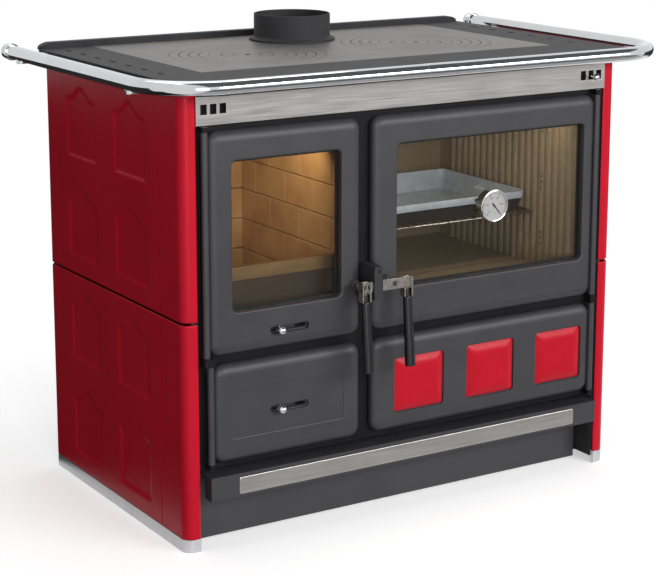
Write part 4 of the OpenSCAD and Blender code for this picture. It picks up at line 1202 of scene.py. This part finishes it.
@dataclass
class Seal:
    """Woven rope in the groove round a door's back."""

    bench: Bench
    node: str
    body: str
    x: Span
    z: Span
    inset: float = 15.5
    corner_r: float = 12.0
    r: float = 4.4
    y: float = 3.2
    step: float = 12.0

    def build(self) -> None:
        """Lays the rope."""
        path = rounded_loop(self.x, self.z, self.corner_r, self.y, self.inset, 6)
        fine: Loop = []
        for a, b in zip(path, path[1:] + path[:1]):
            count = max(1, int((b - a).length / (self.step * MM)))
            fine += [a.lerp(b, i / count) for i in range(count)]
        mesh = bmesh.new()
        swept(mesh, fine, self.r, 12, closed=True)
        merged(mesh)
        self.bench.finish(f"{self.node}_rope", mesh, self.body, "seal_rope", (self.node,))


@dataclass
class AirSlide:
    """Ball knob on its stud, and the slide behind the door."""

    bench: Bench
    node: str
    body: str
    x: float
    z: float
    ball_r: float = 8.5
    plate: Span = (40.0, 10.0)

    def build(self) -> None:
        """Builds the slide."""
        r = self.ball_r
        profile = [(3.0, 0.0), (3.0, 12.0), (5.6, 12.2), (5.6, 14.6), (3.6, 15.2), (3.6, 17.0)]
        centre = profile[-1][1] + r - 1.0
        for i in range(13):
            a = math.radians(-65 + 155 * i / 12)
            profile.append((max(r * math.cos(a), 0.3), centre + r * math.sin(a)))
        mesh = bmesh.new()
        turned(mesh, profile, at(self.x, FACE_Y + 15.0, self.z), FRONT, 36)
        x, z = around(self.x, self.plate[0]), around(self.z, self.plate[1])
        skin(mesh, prism(x, z, 1.5, (2.0, 5.0)))
        slide = self.bench.finish(f"{self.node}_knob", mesh, self.body, "chrome", (self.node,))
        limit = at(0, 1.5, 0).y
        self.bench.part_coat(slide, "black_steel", lambda spot, out: spot.y > limit)


@dataclass
class Thermometer:
    """Round dial thermometer that stands on the oven's glass.

    The first mark's angle counts anticlockwise from the right, and the scale
    sweeps clockwise from there.
    """

    bench: Bench
    x: float = 173.0
    z: float = 577.0
    r: float = 31.5
    body: str = "oven_door_body"
    first: float = 225.0
    sweep: float = 275.0
    marks_r: float = 26.5
    digits_r: float = 16.3
    digits_h: float = 5.2

    def disc(self, name: str, r: float, y: float, thick: float, slot: str) -> None:
        """Adds a flat disc in front of the dial's middle.

        Args:
            name: Name of the piece.
            r: Its radius.
            y: Depth of its rear face.
            thick: Its thickness.
            slot: Material slot.
        """
        mesh = bmesh.new()
        turned(mesh, [(r, 0), (r, thick)], at(self.x, y, self.z), FRONT, 64)
        self.bench.finish(name, mesh, self.body, slot)

    def case(self) -> None:
        """Turns the case and the stem behind it."""
        r = self.r
        mesh = bmesh.new()
        wall = [(25, 0), (26.5, 1), (28.5, 4), (28.5, 20), (30, 21.4), (r, 22.2), (r, 25.4)]
        bezel = ((0.8, 26.6), (2.0, 27.0), (3.0, 26.6), (3.4, 25.2), (3.4, 23.6))
        profile = wall + [(r - inset, h) for inset, h in bezel]
        turned(mesh, profile, at(self.x, 0.5, self.z), FRONT, 64)
        turned(mesh, [(4, 0), (4, 35.5), (3.2, 36)], at(self.x, -0.5, self.z), REAR, 24)
        self.bench.finish(
            "thermometer_case_turned", mesh, self.body, "chrome", ("thermometer_case",)
        )

    def marks(self) -> None:
        """Draws a mark for each 2 of the scale, and a longer one for each 10."""
        mesh = bmesh.new()
        centre = at(self.x, -23.4, self.z)
        for i in range(26):
            a = math.radians(self.first - self.sweep * i / 25)
            inner, half = (23.5, 0.3) if i % 5 else (20.5, 0.55)
            along = Vector((math.cos(a), 0, math.sin(a)))
            across = Vector((-math.sin(a), 0, math.cos(a)))
            outer = self.marks_r
            corners = ((inner, -half), (outer, -half), (outer, half), (inner, half))
            flat = [centre + (along * u + across * v) * MM for u, v in corners]
            skin(mesh, [flat, [p + FRONT * 0.15 * MM for p in flat]])
        self.bench.finish("thermometer_marks", mesh, self.body, "pointer_black")

    def digits(self) -> None:
        """Sets the plain numbers of the scale."""
        mesh = bmesh.new()
        for i in range(6):
            a = math.radians(self.first - self.sweep * i / 5)
            curve = bpy.data.curves.new("digits", "FONT")
            curve.body, curve.size = str(i * 10), self.digits_h * MM
            curve.align_x, curve.align_y, curve.extrude = "CENTER", "CENTER", 0.08 * MM
            label = placed("digits", curve)
            across, up = self.digits_r * math.cos(a), self.digits_r * math.sin(a)
            spot = at(self.x + across, -23.45, self.z + up)
            upright = Matrix.Rotation(math.radians(90), 4, "X")
            label.matrix_world = Matrix.Translation(spot) @ upright
            bpy.context.view_layer.update()
            graph = bpy.context.evaluated_depsgraph_get()
            flat = bpy.data.meshes.new_from_object(label.evaluated_get(graph))
            flat.transform(label.matrix_world)
            mesh.from_mesh(flat)
            bpy.data.objects.remove(label)
        self.bench.finish("thermometer_digits", mesh, self.body, "pointer_black", tidy=False)

    def build(self) -> None:
        """Builds the case, the dial with its scale, and the lens."""
        self.case()
        self.disc("thermometer_dial", self.r - 3.6, -23.0, 0.3, "dial_white")
        self.marks()
        self.digits()
        self.disc("thermometer_lens", self.r - 3.5, -25.0, 1.2, "window_glass")


@dataclass
class Firebox:
    """Fireclay bricks in running bond, and the log guard with its upper bar painted paler as a
    painted highlight.
    """

    bench: Bench
    thick: float = 25.0
    long: float = 114.0
    high: float = 64.0
    joint: float = 1.6
    edge: float = 1.6
    bar_z: float = 486.0

    def brick(self, mesh: Mesh, low: Vector, high: Vector) -> None:
        """Adds one brick.

        Args:
            mesh: Mesh that takes it.
            low: Its lowest corner in metres.
            high: Its highest corner in metres.
        """
        size = high - low
        for vert in bmesh.ops.create_cube(mesh, size=1.0)["verts"]:
            vert.co = Vector(low[i] + size[i] * (vert.co[i] + 0.5) for i in range(3))

    def wall(self, mesh: Mesh, low: Vector, high: Vector, run: int) -> None:
        """Lays one wall of bricks.

        Args:
            mesh: Mesh that takes them.
            low: Lowest corner of the wall in metres.
            high: Highest corner of the wall in metres.
            run: Axis along which the wall runs.
        """
        gap, long = self.joint * MM / 2, self.long * MM
        rows = max(1, round((high.z - low.z) / (self.high * MM)))
        tall = (high.z - low.z) / rows
        for row in range(rows):
            cuts = [low[run]]
            spot = low[run] + long * (1.0 if row % 2 else 0.5)
            while spot < high[run] - 0.2 * long:
                cuts.append(spot)
                spot += long
            cuts.append(high[run])
            for a, b in zip(cuts, cuts[1:]):
                one, two = low.copy(), high.copy()
                one.z, two.z = low.z + row * tall + gap, low.z + (row + 1) * tall - gap
                one[run], two[run] = a + gap, b - gap
                self.brick(mesh, one, two)

    def build(self) -> None:
        """Builds the firebox's lining and guard."""
        low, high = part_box("firebox_bricks")
        t = self.thick * MM
        rear = high.y - t
        mesh = bmesh.new()
        self.wall(mesh, low, Vector((low.x + t, rear, high.z)), 1)
        self.wall(mesh, Vector((high.x - t, low.y, low.z)), Vector((high.x, rear, high.z)), 1)
        self.wall(mesh, Vector((low.x, rear, low.z)), high, 0)
        broken(mesh, self.edge)
        self.bench.finish(
            "firebox_bricks_laid", mesh, "stove", "firebrick", ("firebox_bricks",), 50
        )
        guard = self.bench.eased("log_guard", 1.0)
        limit = (self.bar_z - 0.5) * MM
        # Faces above the bar's foot take the paler steel: painted highlight.
        self.bench.part_coat(guard, "guard_bar_painted_highlight", lambda spot, out: spot.z > limit)


@dataclass
class Oven:
    """Enamelled box, tray, and the rows of small holes in the liners, drawn as thin black discs of
    painted shade.
    """

    bench: Bench
    tray_rim_z: float = 542.8
    hole_r: float = 2.2
    hole_y: float = 116.0
    hole_rows: tuple[float, ...] = (450, 566, 682)
    hole_pitch: float = 12.0
    liner_faces: Span = (-48.2, 396.2)

    def tray(self) -> None:
        """Eases the tray and paints shade on its outside below the rim and underneath."""
        tray = self.bench.eased("baking_tray", 0.6, 50)
        low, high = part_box("baking_tray")
        middle, reach = (low + high) / 2, (high - low) / 2

        def outside(spot: Vector, out: Vector) -> bool:
            """Tells whether a face lies on the outside of the tray, below its rim."""
            away = Vector(((spot.x - middle.x) / reach.x, (spot.y - middle.y) / reach.y, 0))
            below = spot.z < self.tray_rim_z * MM
            return below and (out.z < -0.1 or out.dot(away) > 0.05)

        # The chosen faces take the darker colour as painted shade.
        self.bench.part_coat(tray, "tray_painted_shade", outside)

    def build(self) -> None:
        """Builds the oven's inside."""
        self.bench.eased("oven_box", 0.6)
        self.tray()
        # Black discs on the liners' faces stand for the holes: painted shade, not a cut.
        mesh = bmesh.new()
        r = self.hole_r
        for x, out in zip(self.liner_faces, (1, -1)):
            for z in (row + k * self.hole_pitch for row in self.hole_rows for k in range(3)):
                spot = at(x, self.hole_y, z)
                turned(mesh, [(r, 0.0), (r, 0.2)], spot, Vector((out, 0, 0)), 14)
        self.bench.finish("oven_liner_hole_shade", mesh, "stove", "pointer_black")


@dataclass
class Plinth:
    """Drawer with its folded bar, and the bright strip let into the bar."""

    bench: Bench
    strip_x: Span = (-386.0, 386.0)
    strip_z: Span = (102.0, 134.0)
    corner_r: float = 4.0

    def build(self) -> None:
        """Builds the drawer front."""
        self.bench.eased("drawer_bar", 1.6)
        self.bench.eased("drawer_box", 0.8)
        mesh = bmesh.new()
        loops = []
        for inset, y in ((0.0, -17.0), (0.0, -17.9), (0.5, -18.5), (1.4, -18.8)):
            r = self.corner_r - inset * 0.5
            loops.append(rounded_loop(self.strip_x, self.strip_z, r, y, inset))
        skin(mesh, loops)
        self.bench.finish("drawer_bar_strip", mesh, "drawer", "brushed_steel")


@dataclass
class Studio:
    """Floor, lights, mirror cards and camera, in metres round the frame's origin.

    The camera's eye is a drawing point, and its focal length is in pixels of the
    photograph's width. The floor turns white between the distances of its fade.
    """

    eye: Point = (-1941.1, -2830.8, 1297.9)
    yaw: float = 0.5535
    pitch: float = 0.2051
    focal_px: float = 1866.7
    width_px: float = 656.0
    shift: Span = (0.0036, -0.12)
    sensor_mm: float = 36.0
    middle: Point = (0.0, 0.0, 0.45)
    world_light: float = 0.22
    floor_size: float = 40.0
    floor_glow: float = 0.44
    floor_fade: Span = (0.62, 1.2)
    floor_bounce: str = "#7C7C7C"

    def floor(self) -> None:
        """Lays a white floor that keeps the stove's shadow near its feet."""
        s = self.floor_size
        corners = ((-s, -s, 0), (s, -s, 0), (s, s, 0), (-s, s, 0))
        made = bpy.data.materials.new("white_floor")
        graph = Graph(made)
        matt = {"Base Color": linear("#EDEDED"), "Roughness": 0.9, "Specular IOR Level": 0.1}
        graph.feed("Principled BSDF", matt)
        shaded = graph.tree.nodes["Principled BSDF"].outputs[0]
        near = graph.add("AddShader", {0: shaded, 1: graph.glow(self.floor_glow)})
        where = graph.add("TexCoord", out="Object")
        away = graph.add("VectorMath", {0: where}, "Value", operation="LENGTH")
        span = dict(zip(("From Min", "From Max"), self.floor_fade))
        fade = graph.add("MapRange", {"Value": away, **span}, interpolation_type="SMOOTHSTEP")
        seen = graph.add("MixShader", {0: fade, 1: near, 2: graph.glow(1.0)})
        grey = graph.add("BsdfDiffuse", {"Color": linear(self.floor_bounce)})
        pick = graph.add("MixShader", {0: graph.seen(), 1: grey, 2: seen})
        graph.feed("Material Output", {"Surface": pick})
        self.sheet("floor", corners, made)

    def sheet(self, name: str, corners: Sequence[Point], made: bpy.types.Material) -> Thing:
        """Adds a flat sheet that belongs to the studio.

        Args:
            name: Name of the sheet.
            corners: Its four corners in metres.
            made: Its material.

        Returns:
            The sheet.
        """
        data = bpy.data.meshes.new(name)
        data.from_pydata(list(corners), [], [(0, 1, 2, 3)])
        data.materials.append(made)
        thing = placed(name, data)
        return thing

    def card(self, name: str, corners: Sequence[Point], shade: float) -> None:
        """Hangs a flat card that only mirrors see, to draw bands on polished metal.

        Args:
            name: Name of the card.
            corners: Its four corners in metres.
            shade: How bright it looks.
        """
        made = bpy.data.materials.new(name)
        graph = Graph(made)
        graph.feed("Material Output", {"Surface": graph.glow(shade)})
        thing = self.sheet(name, corners, made)
        thing.visible_camera = thing.visible_diffuse = thing.visible_shadow = False
        thing.visible_transmission = thing.visible_volume_scatter = False

    def level(self, name: str, x: Span, y: Span, z: float, shade: float) -> None:
        """Hangs a level card at a height in metres."""
        corners = ((x[0], y[0], z), (x[1], y[0], z), (x[1], y[1], z), (x[0], y[1], z))
        self.card(name, corners, shade)

    def upright(self, name: str, near: Span, far: Span, high: float, shade: float) -> None:
        """Stands an upright card on the floor between two places in metres."""
        self.card(name, ((*near, 0), (*far, 0), (*far, high), (*near, high)), shade)

    def sky(self) -> None:
        """Lights the room evenly and shows it white behind the stove."""
        world = bpy.data.worlds.new("studio")
        bpy.context.scene.world = world
        graph = Graph(world)
        graph.feed("Background", {"Color": WHITE, "Strength": self.world_light})
        even = graph.tree.nodes["Background"].outputs[0]
        white = graph.add("Background", {"Color": WHITE, "Strength": 1.0})
        pick = graph.add("MixShader", {0: graph.seen(), 1: even, 2: white})
        graph.feed("World Output", {"Surface": pick})

    def lamp(
        self, name: str, place: Point, aim: Point, size: Span, power: float, tint: str = "#FFFFFF"
    ) -> None:
        """Hangs one soft box.

        Args:
            name: Name of the lamp.
            place: Where it hangs, in metres.
            aim: What it faces, in metres.
            size: Width and height in metres.
            power: Light in watts.
            tint: Colour of the light.
        """
        data = bpy.data.lights.new(name, "AREA")
        data.shape, data.size, data.size_y, data.energy = "RECTANGLE", size[0], size[1], power
        data.color = linear(tint)[:3]
        self.aimed(placed(name, data), Vector(place), Vector(aim) - Vector(place))

    def aimed(self, thing: Thing, place: Vector, ahead: Vector) -> None:
        """Puts a lamp or camera in its place.

        Args:
            thing: Lamp or camera.
            place: Where it goes, in metres.
            ahead: Direction in which it looks.
        """
        thing.location = place
        thing.rotation_mode = "QUATERNION"
        thing.rotation_quaternion = ahead.to_track_quat("-Z", "Y")

    def camera(self) -> None:
        """Sets the camera where the photograph was taken from."""
        data = bpy.data.cameras.new("camera")
        data.sensor_width = self.sensor_mm
        data.lens = self.focal_px / self.width_px * self.sensor_mm
        data.shift_x, data.shift_y = self.shift
        data.clip_start, data.clip_end = 0.1, 200.0
        c = math.cos(self.pitch)
        ahead = Vector((math.sin(self.yaw) * c, math.cos(self.yaw) * c, -math.sin(self.pitch)))
        thing = placed("camera", data)
        self.aimed(thing, at(*self.eye), ahead)
        bpy.context.scene.camera = thing

    def lamps(self) -> None:
        """Hangs three soft boxes, and a small lamp in the oven and in the firebox."""
        self.lamp("key_box", (1.6, -3.9, 1.9), self.middle, (3.2, 0.9), 125)
        self.lamp("fill_box", (-1.7, -4.0, 1.1), self.middle, (1.2, 1.2), 68)
        self.lamp("top_box", (0.1, 0.5, 3.4), self.middle, (2.6, 2.6), 46)
        oven, ahead = (0.17, -0.19, 0.735), (0.17, -0.08, 0.4)
        self.lamp("oven_light", oven, ahead, (0.4, 0.06), 0.8, "#FFF2DC")
        firebox, ahead = (-0.28, -0.14, 0.73), (-0.28, 0.1, 0.5)
        self.lamp("firebox_light", firebox, ahead, (0.24, 0.06), 0.5, "#FFDDB0")

    def cards(self) -> None:
        """Hangs the cards that shape the reflections on rail, fascia and knobs."""
        low = 0.004
        self.level("ceiling_card", (-1.0, 3.4), (-4.2, 0.2), 3.1, 0.13)
        self.level("floor_card", (-0.8, 4.0), (-5.6, -1.5), low, 0.17)
        self.level("near_floor_card", (-0.75, 2.4), (-1.5, -0.42), low, 0.5)
        self.upright("right_card", (2.5, -0.7), (2.5, 1.7), 0.9, 0.05)
        left = ((-1.7, -0.4, low), (-0.62, -0.4, low), (-0.38, 1.0, low), (-1.7, 1.0, low))
        self.card("left_floor_card", left, 0.02)
        self.upright("left_card", (-0.2, 1.0), (-1.7, -0.05), 0.74, 0.03)

    def build(self) -> None:
        """Sets up the studio."""
        self.camera()
        self.floor()
        self.sky()
        self.lamps()
        self.cards()
        bpy.context.scene.view_settings.view_transform = "Standard"


def doors(bench: Bench) -> list[Door | Seal | Tiles | AirSlide]:
    """Lists the four doors with their seals, tiles and slides.

    Args:
        bench: Where pieces are finished.

    Returns:
        The parts of the doors in order.
    """
    fire, ash, oven = (-437.0, -121.0), (-430.0, -121.0), (-94.0, 428.0)
    upper, lower = (363.0, 770.0), (163.0, 346.0)
    slot_x, knob_x, right_hinge_x = -276.0, -297.5, 434.25
    pockets = tuple((*around(x, 57), *around(TILE_Z, 54)) for x in TILE_MIDDLES)
    return [
        Door(bench, "fire_door", "fire_door_body", -443.25, fire, upper, window=FIRE_WINDOW,
             slot_at=(slot_x, FIRE_SLOT_Z), spindle_x=-138),
        Door(bench, "ash_door", "ash_door_body", -436.25, ash, lower,
             slot_at=(slot_x, ASH_SLOT_Z), panel=(-396, -160, 204.5, 297)),
        Door(bench, "oven_door", "oven_door_body", right_hinge_x, oven, upper,
             window=OVEN_WINDOW, spindle_x=-70),
        Door(bench, "tile_door", "tile_door_body", right_hinge_x, oven, lower, pockets=pockets),
        Seal(bench, "fire_door_seal", "fire_door_body", fire, upper),
        Seal(bench, "ash_door_seal", "ash_door_body", ash, lower),
        Seal(bench, "oven_door_seal", "oven_door_body", oven, upper),
        Tiles(bench),
        AirSlide(bench, "fire_air_slide", "fire_air", knob_x, FIRE_SLOT_Z),
        AirSlide(bench, "ash_air_slide", "ash_air", knob_x, ASH_SLOT_Z),
    ]


def trim(bench: Bench) -> None:
    """Eases the small parts of the doors and screws their glass in.

    Args:
        bench: Where pieces are finished.
    """
    for node in ("fire_lever", "oven_lever"):
        bench.eased(node, 0.5)
    for node in ("fire_grip", "oven_grip", "damper_slide"):
        bench.eased(node, 0.4, 60)
    for word, window in (("fire", FIRE_WINDOW), ("oven", OVEN_WINDOW)):
        left, right, low, high = window
        heights = (low + 9, (low + high) / 2, high - 9)
        places = [at(x, BACK_Y, z) for x in (left - 1, right + 1) for z in heights]
        body = f"{word}_door_body"
        bench.screws(f"{word}_glass_screws", body, places, REAR, 2.6, "pin_steel")


def main() -> None:
    """Builds the stove's looks in order."""
    logging.basicConfig(level=logging.INFO, format="%(name)s: %(message)s")
    palette = Palette()
    bench = Bench(palette)
    Studio().build()
    for node, thing in NODES.items():
        palette.coat(thing, palette.slots[node])
    for group in (Carcass, Hob, TowelRail, Firebox, Oven, Plinth, Thermometer):
        group(bench).build()
    for part in doors(bench):
        part.build()
    trim(bench)


if __name__ == "__main__":
    main()
